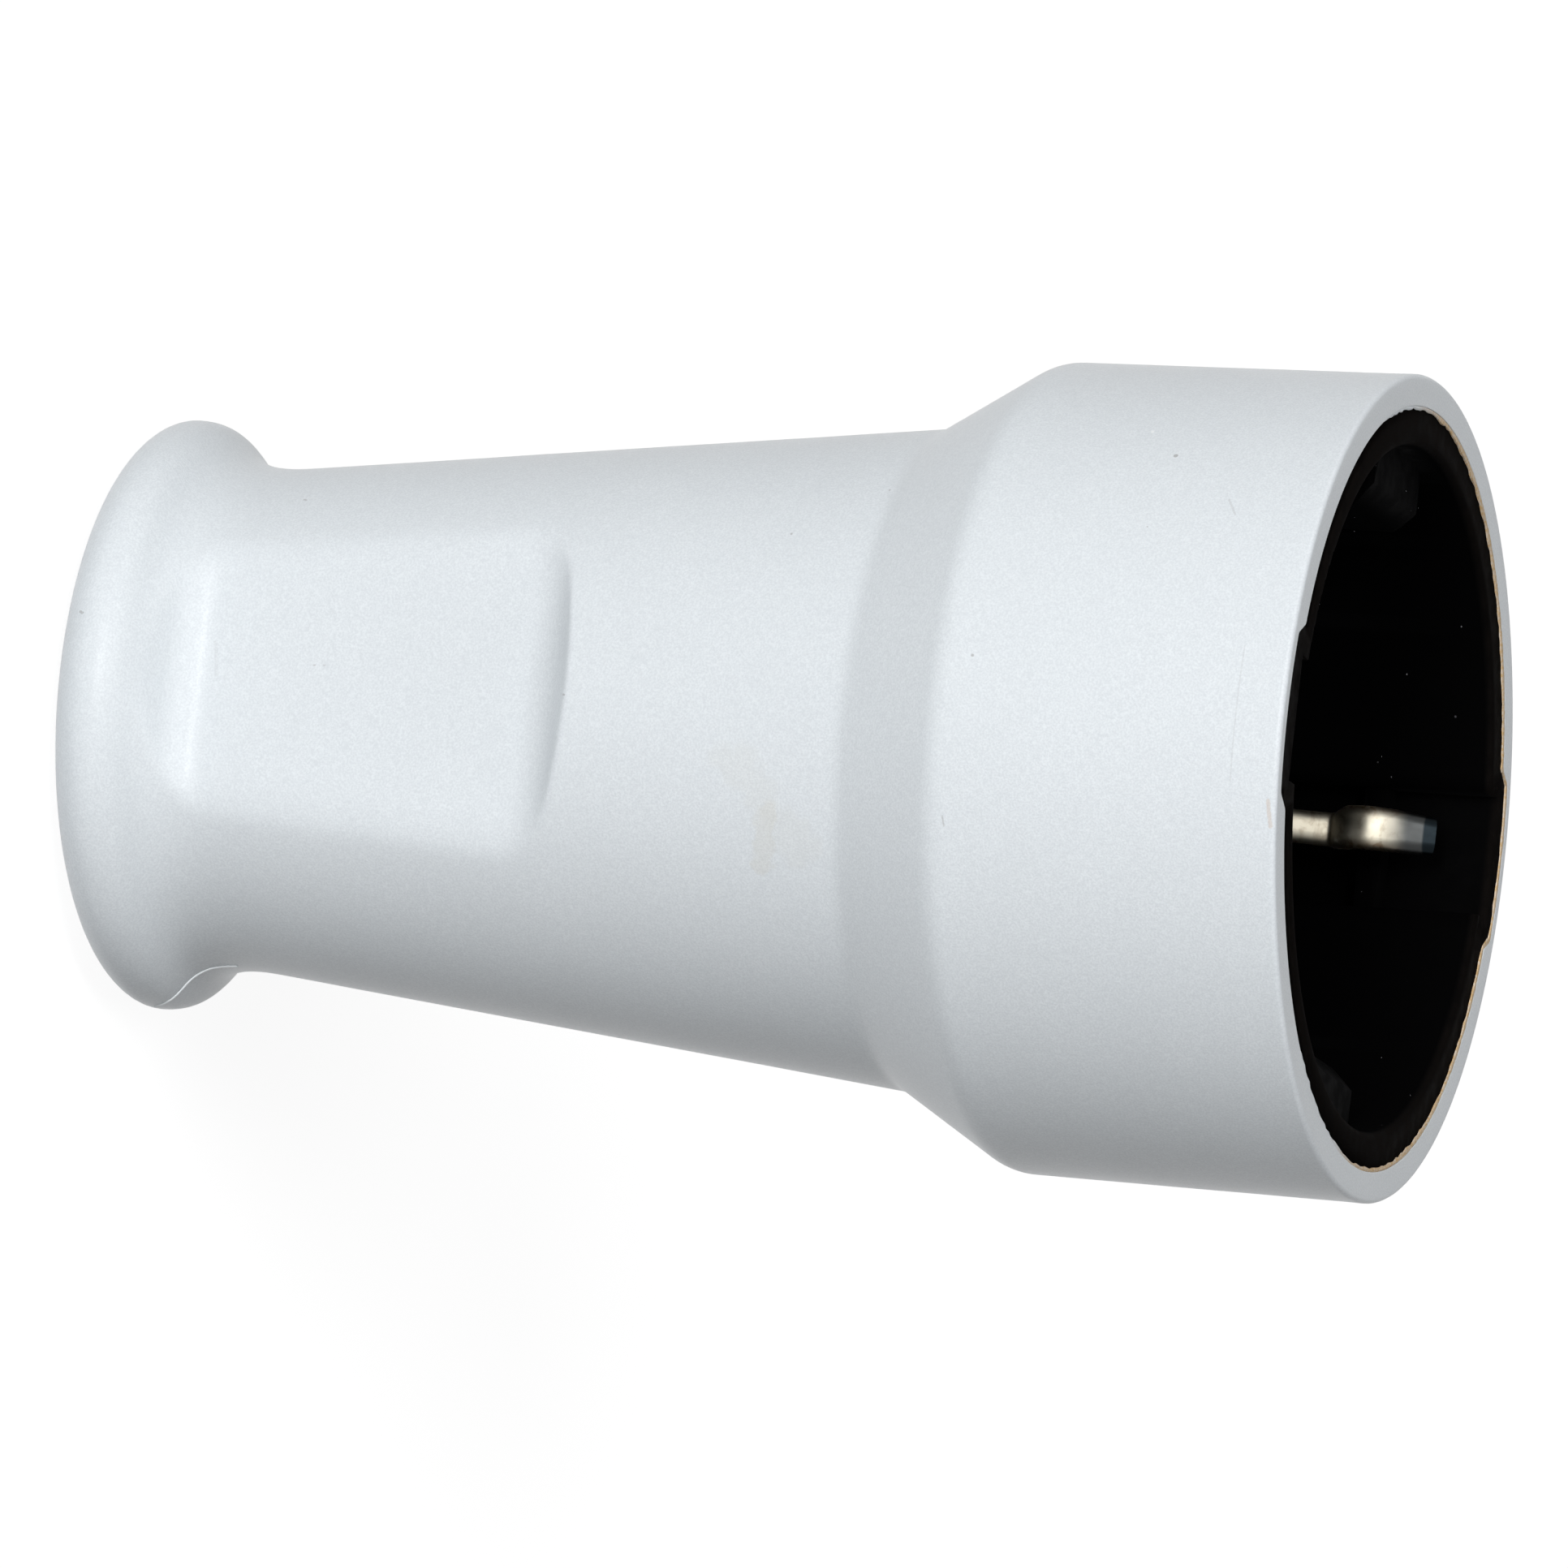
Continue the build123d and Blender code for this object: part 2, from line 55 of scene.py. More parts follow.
MM = 0.001
MERGE_DISTANCE = 1e-6
CREASE_ANGLE = math.radians(32)
ORIGIN = (0.0, 0.0, 0.0)

# Hood, in millimetres, with the rear face at level 0
HOOD_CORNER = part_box("housing")[1] / MM
MOUTH_LEVEL = HOOD_CORNER.z
MOUTH_RADIUS = HOOD_CORNER.x
MOUTH_ROUND = 0.3
ENTRY_RADIUS = 5.6
ENTRY_LIP = 4.0
REAR_RING_WIDTH = 2.11
BEAD_RADIUS = 17.19
BEAD_RISE = 3.09
BEAD_HANDLE = 3.0
NECK_RADIUS = 14.76
NECK_LEVEL = 10.27
NECK_HANDLE = 5.93
CONE_RADIUS = 19.2
CONE_LEVEL = 49.28
COLLAR_RADIUS = 23.39
COLLAR_LEVEL = 56.06
SHOULDER_FILLET = 2.5
SHOULDER_ROUND = 2.8
CONE_TAPER = (CONE_RADIUS - NECK_RADIUS) / (CONE_LEVEL - NECK_LEVEL)
WALL = 2.1
CAVITY_LEVEL = 7.6
CAVITY_ROUND = 1.5
LEDGE_LEVEL = 56.8
LEDGE_RADIUS = 19.47
BORE_RADIUS = 21.97
SNAP_LEVEL = 64.8
SNAP_RADIUS = 22.27
SNAP_HALF = 0.85
SNAP_CREST_HALF = 0.32
KEY_LEVEL = 70.62
KEY_RADIUS = 22.95
KEY_HALF = 4.98
KEY_HEIGHT = 0.95
KEY_SIDE_RUN = 0.57
KEY_ROUND = 0.4

# Finger flats sunk in the grip
FLAT_LOW = 7.5
FLAT_HIGH = 30.15
FLAT_DISTANCE = 12.75
FLAT_SLOPE = math.tan(math.radians(4.2))
FLAT_END_ANGLE = math.radians(57)
FLAT_END_REACH = 12.0
FLAT_LOW_ROUND = 2.8
FLAT_HIGH_ROUND = 3.6
FLAT_SIDE_SOFTNESS = 0.9
FLAT_END_SOFTNESS = 0.3
FLAT_SOFT_RUN = 2.0

# Rows of the hood's mesh on its outside: first level, last level and step, and the least step that is kept
OUTSIDE_ROWS = (
    (BEAD_RISE + 0.3, NECK_LEVEL, 0.17),
    (FLAT_HIGH - 2.4, FLAT_HIGH + 3.2, 0.14),
    (NECK_LEVEL + 0.4, MOUTH_LEVEL - MOUTH_ROUND, 0.8),
)
LEAST_ROW = 0.03

# Rows across the mouth's face, as shares of its width, and round its inner edge, as drop and inset
FACE_SHARES = (0.35, 0.7, 0.93)
INNER_EDGE = ((0.0, 0.04), (0.012, 0.012), (0.05, 0.0))

# Least angle in radians between the side of a key notch and the columns next to it
COLUMN_GAP = 0.004

# Waves in the hood's soft wall, to the metre, the levels that they lie between, and how deep they reach
BROAD_WAVES = 90.0
SHORT_WAVES = 230.0
SHORT_WAVE_SHIFT = Vector((3.0, 1.0, 7.0))
WAVE_LEVELS = (0.4, MOUTH_LEVEL - 1)
WAVE_REACH = 6

# Threads of the screws: axis, low and high end along it, shank radius and pitch
THREADS = {
    "line_screw": ("Y", -3.0, -0.1, 1.6, 0.7),
    "cord_screw": ("Y", -1.6, 7.7, 1.5, 0.6),
    "earth_screw": ("Z", 51.5, 55.3, 1.95, 0.8),
    "centre_screw": ("Z", 43.4, 56.9, 1.95, 0.8),
}
THREAD_DEPTH = 0.22
THREAD_RUN_OUT = 0.3
SHANK_TOLERANCE = 0.03

# Earth arm: distance from the middle plane, level and bend, from the bridge to the tip, then how far it
# stands off the middle sideways, where the solid is cut, its section, and its width at some levels
ARM_PATH = (
    (12.6, 53.55, 0.0),
    (18.1, 58.4, 1.8),
    (18.1, 60.2, 1.8),
    (16.1, 63.2, 1.8),
    (17.8, 68.3, 0.8),
    (15.7, 69.5, 1.7),
    (16.6, 71.8, 3.0),
    (17.9, 74.0, 0.0),
)
ARM_OFFSET = 0.5
ARM_CUT_LEVEL = 55.5
ARM_THICKNESS = 1.18
ARM_EDGE_WIDTH = 0.72
ARM_EDGE_DEPTH = 0.56
ARM_STEP = 0.16
ARM_WIDTHS = ((53.0, 2.38), (62.0, 2.38), (65.0, 1.95), (67.9, 2.0), (69.2, 2.6), (71.8, 2.55), (74.0, 2.25))

# Ragged edge of the mouth: angle about the axis in degrees and reach of the rags, then how far its line lies
# under the mouth and in the wall
RAG_REACH = (
    (-180.0, 0.34),
    (-160.0, 0.3),
    (-150.0, 0.14),
    (-40.0, 0.14),
    (-33.0, 0.36),
    (-4.0, 0.34),
    (4.0, 0.34),
    (30.0, 0.42),
    (165.0, 0.5),
    (175.0, 0.4),
    (177.0, 0.5),
    (180.0, 0.34),
)
RAG_DROP = 0.15
RAG_INSET = 0.03

# Flash left by the mould on the bead: level and angle in degrees of its points, its reach and its height
FLASH_LINE = ((3.3, 1.8), (4.3, -0.4), (5.5, -1.6), (6.8, -2.0), (8.4, -1.6))
FLASH_POINTS = 60
FLASH_REACH = 0.2
FLASH_HEIGHT = 0.06

# Marks on the hood: kind, angle in degrees and level of both ends, half width, strength
UNROLL_RADIUS = 20.0
HOOD_MARKS = (
    ("scuff", (-69.5, 45.0), (-60.0, 44.6), 0.8, 0.16),
    ("scuff", (-78.0, 42.8), (-63.0, 47.2), 1.5, 0.07),
    ("speck", (-98.5, 74.0), (-79.5, 74.0), 0.06, 0.1),
    ("speck", (-121.7, 71.1), (-119.1, 71.7), 0.08, 0.16),
    ("speck", (-72.3, 57.0), (-71.0, 57.1), 0.07, 0.25),
    ("speck", (-94.3, 15.4), (-94.3, 15.45), 0.09, 0.3),
    ("speck", (-94.4, 16.0), (-94.4, 16.05), 0.08, 0.25),
    ("speck", (-138.9, 12.4), (-138.7, 12.5), 0.11, 0.4),
    ("speck", (-88.3, 31.9), (-88.2, 32.0), 0.09, 0.35),
    ("speck", (-95.0, 58.0), (-95.0, 58.05), 0.09, 0.4),
    ("speck", (-132.9, 49.0), (-132.8, 49.0), 0.09, 0.4),
    ("speck", (-122.0, 44.0), (-121.9, 44.0), 0.09, 0.4),
    ("speck", (-99.3, 2.0), (-98.9, 2.2), 0.12, 0.35),
    ("speck", (-99.3, 9.1), (-90.7, 9.4), 0.16, 0.06),
    ("rust", (-77.2, 76.3), (-73.9, 76.5), 0.16, 0.25),
    # The pale spot is a painted highlight, where a small ridge catches the light
    ("pale", (-135.6, 65.0), (-135.4, 65.0), 0.12, 0.6),
)
SCUFF_RAGGEDNESS = 0.9
MARK_RAGGEDNESS = 0.4

# Hood's finish: shine, how far each pattern mixes in the duller colour, the specks' strength, and the
# roughness that the patches add
HOOD_SPECULAR = 0.17
PATCH_AMOUNT = 0.1
MOTTLE_AMOUNT = 0.2
GRAIN_AMOUNT = 0.75
SPECK_AMOUNT = 0.5
PATCH_ROUGHNESS = 0.015

# Size of the mottle and of the patches, in grains
MOTTLE_GRAINS = 4.0
PATCH_GRAINS = 45.0

# How far a noise usually swings
NOISE_RANGE = (0.3, 0.7)

# Grain of the moulded pieces, in millimetres, as size and depth, and depth of the lines in metal
INSERT_GRAIN = (0.3, 0.004)
RAG_GRAIN = (0.2, 0.03)
HIDDEN_GRAIN = (0.25, 0.012)
LINE_DEPTH = 0.006
STRIP_LINE_DEPTH = 0.004

# Roughness that the mottle adds on the insert and on the hidden plastic
INSERT_ROUGHER = 0.18
HIDDEN_ROUGHER = 0.12

# Insert's finish: shine in the well, how much less the rim has, the levels where the rim begins, and dust
WELL_SPECULAR = 0.004
RIM_SPECULAR_DROP = 0.0028
RIM_LEVELS = (MOUTH_LEVEL - 0.6, MOUTH_LEVEL - 0.15)
DUST_AMOUNT = 0.2

# Where the rags turn from the hood's colour to brown, across the mouth
RAG_BROWN = (-6, 2)

# Earth arms' finish: levels where painted shade darkens the bent tips and then the ends, where the brown
# painted shade along the edges begins, and how much film and edge shade there is
TIP_SHADE_LEVELS = (70.6, 72.9)
END_SHADE_LEVELS = (73.55, 73.7)
EDGE_SHADE_OFFSETS = (0.7, 1.15)
FILM_AMOUNT = 0.4
EDGE_SHADE_AMOUNT = 0.6

# Metals: lines to the metre along each axis, and how far the film covers them
STRIP_LINES = (900, 900, 90)
TURNED_LINES = (900, 900, 9000)
EVEN_LINES = (2500, 2500, 2500)
TARNISH_AMOUNT = 0.25

# Share of the colour's change and of the roughness that the lines in metal make
LINE_SHADE = 0.25
LINE_ROUGHNESS = (-0.05, 0.1)

# Rags: the noise's range, and the half reach at both ends of it
RAG_NOISE = (0.36, 0.64)
RAG_HALF_REACH = (0.3, 0.5)

# Dust flakes: least and greatest stretch along their sides
FLAKE_LEAST = (0.3, 0.3, 0.2)
FLAKE_GREATEST = (1.0, 0.8, 0.5)

# Camera: width of its sensor in millimetres, and how far it sees
SENSOR_WIDTH = 36.0
SIGHT_END = 50.0

# Lamps: where each stands as the camera sees it, right, up and back, and how wide it is in degrees
LAMPS = {
    "key": (-0.27, 0.3, 0.915),
    "fill": (0.4, 0.3, 0.866),
    "side": (0.8, 0.0, 0.6),
}
LAMP_WIDTH = 25

# Floor: its glow and grey as the camera sees it, and the grey that lights the socket from below
FLOOR_GLOW = 0.92
FLOOR_GREY = 0.25
FLOOR_BOUNCE = 0.7


def colour_property(name, description, default):
    return bpy.props.FloatVectorProperty(
        name=name, description=description, default=default, subtype="COLOR", size=3, min=0.0, max=1.0
    )


def number_property(name, description, default, **more):
    return bpy.props.FloatProperty(name=name, description=description, default=default, **more)


def length_property(name, description, default):
    return number_property(name, description, default, unit="LENGTH", subtype="DISTANCE", precision=5)


def share_property(name, description, default):
    return number_property(name, description, default, subtype="FACTOR", min=0.0, max=1.0)


def angle_property(name, description, degrees):
    return number_property(name, description, math.radians(degrees), subtype="ANGLE")


class HoodSettings(bpy.types.PropertyGroup):
    """Looks of the pale hood"""

    columns: bpy.props.IntProperty(
        name="Columns", description="Columns of the mesh round the axis", default=284, min=48
    )
    colour: colour_property("Colour", "Soft plastic of the hood", (0.805, 0.848, 0.878))
    patch_colour: colour_property("Patches", "Slightly duller patches in the plastic", (0.66, 0.70, 0.735))
    scuff_colour: colour_property("Scuff", "Yellowish rub on the cone", (0.62, 0.57, 0.44))
    speck_colour: colour_property("Specks", "Dark specks stuck in the surface", (0.16, 0.14, 0.13))
    # The pale colour is a painted highlight, on the pale spot and on the mould flash's ridge
    pale_colour: colour_property("Parting line", "Pale flash left by the mould", (0.93, 0.95, 0.96))
    rust_colour: colour_property("Rust", "Brown smear at the mouth", (0.5, 0.27, 0.1))
    rag_colour: colour_property("Rags", "Brownish ragged edge of the mouth", (0.6, 0.4, 0.19))
    rag_size: length_property("Rag size", "Size of the rags round the mouth", 0.5 * MM)
    grain: length_property("Grain", "Size of the fine grain", 0.12 * MM)
    grain_depth: length_property("Grain depth", "Depth of the fine grain", 0.014 * MM)
    unevenness: length_property("Unevenness", "How far the soft wall waves", 0.03 * MM)
    roughness: share_property("Roughness", "Roughness of the soft plastic", 0.29)


class InsertSettings(bpy.types.PropertyGroup):
    """Looks of the black insert and the carrier behind it"""

    colour: colour_property("Insert", "Black plastic of the insert", (0.0016, 0.0016, 0.0017))
    # The rim's lighter black is a painted sheen
    rim_sheen_colour: colour_property("Rim", "Rubbed black plastic of the insert's rim", (0.006, 0.005, 0.0045))
    dust_colour: colour_property("Dust", "Dust and lint in the well", (0.34, 0.34, 0.36))
    carrier_colour: colour_property("Carrier", "Dark grey plastic of the carrier", (0.022, 0.022, 0.025))
    saddle_colour: colour_property("Saddle", "Light grey plastic of the clamp", (0.34, 0.36, 0.39))
    roughness: share_property("Roughness", "Roughness of the insert", 0.5)
    flakes: number_property("Flakes", "Dust flakes for each square metre", 24000)
    flake_size: length_property("Flake size", "Radius of the largest dust flake", 0.075 * MM)


class MetalSettings(bpy.types.PropertyGroup):
    """Looks of the contacts, screws and springs"""

    plated_colour: colour_property("Plated strip", "Plated earth bow", (0.58, 0.54, 0.44))
    # Painted shade: darkened bent tips of the earth bow, and darker ends
    tip_shade_colour: colour_property("Strip tips", "Dull bent tips of the earth bow", (0.04, 0.042, 0.042))
    end_shade_colour: colour_property("Strip ends", "Bare ends of the earth bow", (0.008, 0.011, 0.013))
    brass_colour: colour_property("Brass", "Turned line contacts", (0.66, 0.45, 0.18))
    spring_colour: colour_property("Spring steel", "Rings and lock washer", (0.32, 0.33, 0.35))
    zinc_colour: colour_property("Zinc", "Plated screws, nuts and plate", (0.52, 0.54, 0.57))
    tarnish_colour: colour_property("Tarnish", "Brown film on old metal", (0.20, 0.13, 0.07))


class StageSettings(bpy.types.PropertyGroup):
    """Camera, lamps and floor"""

    yaw: angle_property("Look down", "How far the camera looks down", 17.89)
    roll: angle_property("Roll", "Roll of the camera", -3.526)
    spin: angle_property("Spin", "Turn of the pins about the axis", 170)
    distance: length_property("Distance", "From the camera to the mouth", 1.2975)
    lens: number_property("Lens", "Focal length, millimetres", 520.5)
    mouth_right: length_property("Mouth right", "Mouth's middle right of the picture's middle", 35.05 * MM)
    mouth_up: length_property("Mouth up", "Mouth's middle above the picture's middle", -0.296 * MM)
    key_strength: number_property("Key", "Low lamp at the cable end's side", 3.4)
    fill_strength: number_property("Fill", "Lamp to the right of the camera", 0.95)
    side_strength: number_property("Side", "Lamp at the mouth's side", 0.52)
    sky_strength: number_property("Sky", "Strength of the even light", 0.05)
    floor_radius: length_property("Floor radius", "Radius of the floor", 4.0)


def label(key):
    """The name of a node's socket, from its name in the script."""
    return key.replace("_", " ").title().replace("Ior", "IOR")


class NodeSheet:
    """Short ways to add nodes to one tree and to join them."""

    def __init__(self, tree):
        self.tree = tree

    def add(self, kind, inputs=None, **settings):
        made = self.tree.nodes.new(kind)
        for name, value in settings.items():
            setattr(made, name, value)
        for key, value in (inputs or {}).items():
            self.feed(made.inputs[key], value)
        return made

    def first(self, kind, inputs=None, **settings):
        """The first output of a new node."""
        return self.add(kind, inputs, **settings).outputs[0]

    def feed(self, socket, value):
        if isinstance(value, bpy.types.NodeSocket):
            self.tree.links.new(value, socket)
        elif socket.type == "RGBA":
            socket.default_value = (*value, 1.0)
        else:
            socket.default_value = value

    def math(self, operation, *values, clamp=False):
        return self.first("ShaderNodeMath", dict(enumerate(values)), operation=operation, use_clamp=clamp)

    def times(self, first, second):
        return self.math("MULTIPLY", first, second)

    def over(self, first, second):
        return self.math("DIVIDE", first, second)

    def vector(self, operation, *values, **named):
        """What a vector operation gives: a number for a length or a dot product, and else a vector."""
        made = self.add("ShaderNodeVectorMath", {**dict(enumerate(values)), **named}, operation=operation)
        return made.outputs[1 if operation in ("LENGTH", "DOT_PRODUCT") else 0]

    def parts(self, vector):
        """The three parts of a vector."""
        return self.add("ShaderNodeSeparateXYZ", {0: vector}).outputs

    def joined(self, *parts):
        """A vector of up to three parts."""
        return self.first("ShaderNodeCombineXYZ", dict(enumerate(parts)))

    def mix(self, factor, first, second):
        return self.add("ShaderNodeMix", {0: factor, 6: first, 7: second}, data_type="RGBA").outputs[2]

    def between(self, value, low, high, start=0.0, end=1.0):
        """Smooth step of a value from one range to another."""
        inputs = {0: value, 1: low, 2: high, 3: start, 4: end}
        return self.first("ShaderNodeMapRange", inputs, interpolation_type="SMOOTHSTEP")

    def swing(self, noise, start, end):
        """A noise drawn out between two values."""
        return self.between(noise, *NOISE_RANGE, start, end)

    def noise(self, place, scale, detail=2.0, rough=0.5, distortion=0.0):
        keys = ("Vector", "Scale", "Detail", "Roughness", "Distortion")
        return self.first("ShaderNodeTexNoise", dict(zip(keys, (place, scale, detail, rough, distortion))))


SOCKET_KINDS = {float: "NodeSocketFloat", int: "NodeSocketInt", tuple: "NodeSocketVector"}


def new_group(kind, name, inputs, outputs):
    """A node group, with its inputs given by default or by kind: its sheet, input and output sockets."""
    tree = bpy.data.node_groups.new(name, kind)
    for key, value in inputs.items():
        socket_type = SOCKET_KINDS.get(type(value), value)
        socket = tree.interface.new_socket(name=label(key), in_out="INPUT", socket_type=socket_type)
        if socket_type != value:
            socket.default_value = value
    for key, socket_type in outputs.items():
        tree.interface.new_socket(name=key, in_out="OUTPUT", socket_type=socket_type)
    start = tree.nodes.new("NodeGroupInput")
    end = tree.nodes.new("NodeGroupOutput")
    return NodeSheet(tree), start.outputs, end.inputs


def shader_group(name, outputs, **values):
    """A group that takes the place on a piece and some values, and puts out numbers."""
    numbers = dict.fromkeys(outputs, "NodeSocketFloat")
    return new_group("ShaderNodeTree", name, {"place": ORIGIN, **values}, numbers)


def geometry_group(name, **values):
    """A group that takes a mesh, some values and a material, and puts out what it grows."""
    inputs = {"geometry": "NodeSocketGeometry", **values, "material": "NodeSocketMaterial"}
    return new_group("GeometryNodeTree", name, inputs, {"Geometry": "NodeSocketGeometry"})


GROUPS = {}


def shared(make):
    """The node group that a function makes, built once."""
    if make not in GROUPS:
        GROUPS[make] = make()
    return GROUPS[make]


def grain_group():
    """Fine grain, mottle and broad patches of a moulded surface."""
    sheet, given, out = shader_group("Moulded grain", ("Grain", "Mottle", "Patches"), grain_size=0.15 * MM)
    place = given["Place"]
    scale = sheet.over(1.0, given["Grain Size"])
    sheet.feed(out["Grain"], sheet.noise(place, scale, 3.0, 0.6))
    sheet.feed(out["Mottle"], sheet.noise(place, sheet.over(scale, MOTTLE_GRAINS), 2.0, 0.55))
    patch = sheet.noise(place, sheet.over(scale, PATCH_GRAINS), 3.0, 0.5, 0.4)
    sheet.feed(out["Patches"], sheet.between(patch, 0.2, 0.8))
    return sheet.tree


def mark_group():
    """One mark along a straight stretch: a scratch, a streak, or a spot where both ends meet."""
    sheet, given, out = shader_group(
        "Mark", ("Mask",), start=ORIGIN, end=ORIGIN, half_width=0.1 * MM, raggedness=MARK_RAGGEDNESS
    )
    along = sheet.vector("SUBTRACT", given["End"], given["Start"])
    away = sheet.vector("SUBTRACT", given["Place"], given["Start"])
    length_squared = sheet.math("MAXIMUM", sheet.vector("DOT_PRODUCT", along, along), 1e-12)
    share = sheet.math("DIVIDE", sheet.vector("DOT_PRODUCT", away, along), length_squared, clamp=True)
    nearest = sheet.vector("SCALE", along, Scale=share)
    gap = sheet.vector("LENGTH", sheet.vector("SUBTRACT", away, nearest))
    ragged = sheet.noise(given["Place"], sheet.over(0.8, given["Half Width"]))
    ragged = sheet.times(sheet.math("SUBTRACT", ragged, 0.5), given["Raggedness"])
    reach = sheet.math("ADD", sheet.over(gap, given["Half Width"]), sheet.times(ragged, 2.0))
    sheet.feed(out["Mask"], sheet.between(reach, 1.0, 0.45))
    return sheet.tree


def fleck_group():
    """Sparse round flecks with a chosen share of the cells filled."""
    sheet, given, out = shader_group("Flecks", ("Mask",), spacing=2.0 * MM, size=0.1, share=0.3)
    scale = sheet.over(1.0, given["Spacing"])
    cells = sheet.add("ShaderNodeTexVoronoi", {"Vector": given["Place"], "Scale": scale}).outputs
    picked = sheet.add("ShaderNodeSeparateColor", {0: cells["Color"]}).outputs
    size = sheet.times(given["Size"], sheet.math("ADD", 0.35, picked[1]))
    edge = sheet.math("SUBTRACT", size, cells["Distance"])
    spot = sheet.between(sheet.over(edge, given["Size"]), 0.0, 0.35)
    sheet.feed(out["Mask"], sheet.times(spot, sheet.math("LESS_THAN", picked[0], given["Share"])))
    return sheet.tree


def drawn_group():
    """Fine lines left by drawing or turning, and the tarnish that settles between them."""
    values = {"stretch": ORIGIN, "tarnish_size": 2.0 * MM}
    sheet, given, out = shader_group("Drawn metal", ("Lines", "Tarnish"), **values)
    stretched = sheet.vector("MULTIPLY", given["Place"], given["Stretch"])
    sheet.feed(out["Lines"], sheet.noise(stretched, 1.0, 3.0, 0.6))
    tarnish = sheet.noise(given["Place"], sheet.over(1.0, given["Tarnish Size"]), 5.0, 0.6, 0.6)
    sheet.feed(out["Tarnish"], sheet.between(tarnish, 0.46, 0.68))
    return sheet.tree


class Finish(NodeSheet):
    """A material being made: its sheet, its shader and the place on the piece."""

    def __init__(self, name, **values):
        self.material = bpy.data.materials.new(name)
        self.material.use_nodes = True
        super().__init__(self.material.node_tree)
        self.shader = self.tree.nodes["Principled BSDF"]
        self.place = self.add("ShaderNodeTexCoord").outputs["Object"]
        self.give(**values)

    def give(self, **values):
        for key, value in values.items():
            self.feed(self.shader.inputs[label(key)], value)

    def group(self, make, **values):
        """One of the shared groups, placed with its own values."""
        named = {label(key): value for key, value in values.items()}
        return self.add("ShaderNodeGroup", {"Place": self.place, **named}, node_tree=shared(make)).outputs

    def done(self, height, depth, **values):
        """The finished material, with its last values and its fine relief."""
        self.give(**values, normal=self.first("ShaderNodeBump", {"Height": height, "Distance": depth}))
        return self.material

    def band(self, length, ends):
        """Smooth step of a length between two ends in millimetres."""
        return self.between(length, ends[0] * MM, ends[1] * MM)


def darker(colour, share):
    """A share of a colour."""
    return tuple(share * part for part in colour)


def unrolled(angle, level):
    """A point of the hood's unrolled outside from its angle about the axis, in degrees, and its level."""
    return (math.radians(angle) * UNROLL_RADIUS * MM, level * MM, 0.0)


def hood_finish(settings):
    """Soft pale plastic with fine grain, faint patches, a yellowish rub and a few specks."""
    finish = Finish("hood_plastic", specular_ior_level=HOOD_SPECULAR)
    grain = finish.group(grain_group, grain_size=settings.grain)
    patches = finish.times(grain["Patches"], PATCH_AMOUNT)
    mottle = finish.between(grain["Mottle"], 0.25, 0.75, 0.0, MOTTLE_AMOUNT)
    fine = finish.swing(grain["Grain"], 0.0, GRAIN_AMOUNT)
    colour = settings.colour
    for amount in (patches, mottle, fine):
        colour = finish.mix(amount, colour, settings.patch_colour)
    specks = finish.group(fleck_group, spacing=5.5 * MM, size=0.028, share=0.3)
    colour = finish.mix(finish.times(specks["Mask"], SPECK_AMOUNT), colour, settings.speck_colour)
    place = finish.parts(finish.place)
    around = finish.times(finish.math("ARCTAN2", place[1], place[0]), UNROLL_RADIUS * MM)
    unrolled_place = finish.joined(around, place[2])
    for kind, start, end, half_width, strength in HOOD_MARKS:
        mark = finish.group(
            mark_group,
            place=unrolled_place,
            start=unrolled(*start),
            end=unrolled(*end),
            half_width=half_width * MM,
            raggedness=SCUFF_RAGGEDNESS if kind == "scuff" else MARK_RAGGEDNESS,
        )
        colour = finish.mix(finish.times(mark["Mask"], strength), colour, getattr(settings, kind + "_colour"))
    roughest = settings.roughness + PATCH_ROUGHNESS
    rough = finish.between(grain["Patches"], 0.0, 1.0, settings.roughness, roughest)
    return finish.done(grain["Grain"], settings.grain_depth, base_color=colour, roughness=rough)


def insert_finish(settings):
    """Black satin plastic whose rim has less shine and a painted sheen in a lighter, mottled black, and dust.
    """
    finish = Finish("insert_plastic")
    grain = finish.group(grain_group, grain_size=INSERT_GRAIN[0] * MM)
    dust = finish.group(fleck_group, spacing=1.3 * MM, size=0.05, share=0.25)
    rim = finish.band(finish.parts(finish.place)[2], RIM_LEVELS)
    shine = finish.math("SUBTRACT", WELL_SPECULAR, finish.times(rim, RIM_SPECULAR_DROP))
    # Painted sheen: the rim turns to a lighter black, in a mottle
    painted_sheen = finish.times(rim, finish.between(grain["Mottle"], 0.2, 0.8, 0.35, 1.0))
    plastic = finish.mix(painted_sheen, settings.colour, settings.rim_sheen_colour)
    dusty = finish.mix(finish.times(dust["Mask"], DUST_AMOUNT), plastic, settings.dust_colour)
    rough = finish.swing(grain["Mottle"], settings.roughness, settings.roughness + INSERT_ROUGHER)
    finish.give(specular_ior_level=shine)
    return finish.done(grain["Grain"], INSERT_GRAIN[1] * MM, base_color=dusty, roughness=rough)


def rag_finish(settings):
    """Ragged plastic round the mouth: brown on one side and of the hood's colour on the other."""
    finish = Finish("mouth_rags", roughness=0.6, specular_ior_level=0.2)
    grain = finish.group(grain_group, grain_size=RAG_GRAIN[0] * MM)
    brown = finish.band(finish.parts(finish.place)[1], RAG_BROWN)
    shaded = finish.times(brown, finish.between(grain["Grain"], 0.35, 0.65, 0.6, 1.0))
    colour = finish.mix(shaded, settings.colour, settings.rag_colour)
    return finish.done(grain["Grain"], RAG_GRAIN[1] * MM, base_color=colour)


def cloudy_finish(name, first, second, scale, roughness, specular):
    """Dull stuff whose colour drifts between two shades."""
    finish = Finish(name, roughness=roughness, specular_ior_level=specular)
    finish.give(base_color=finish.mix(finish.noise(finish.place, scale), first, second))
    return finish.material


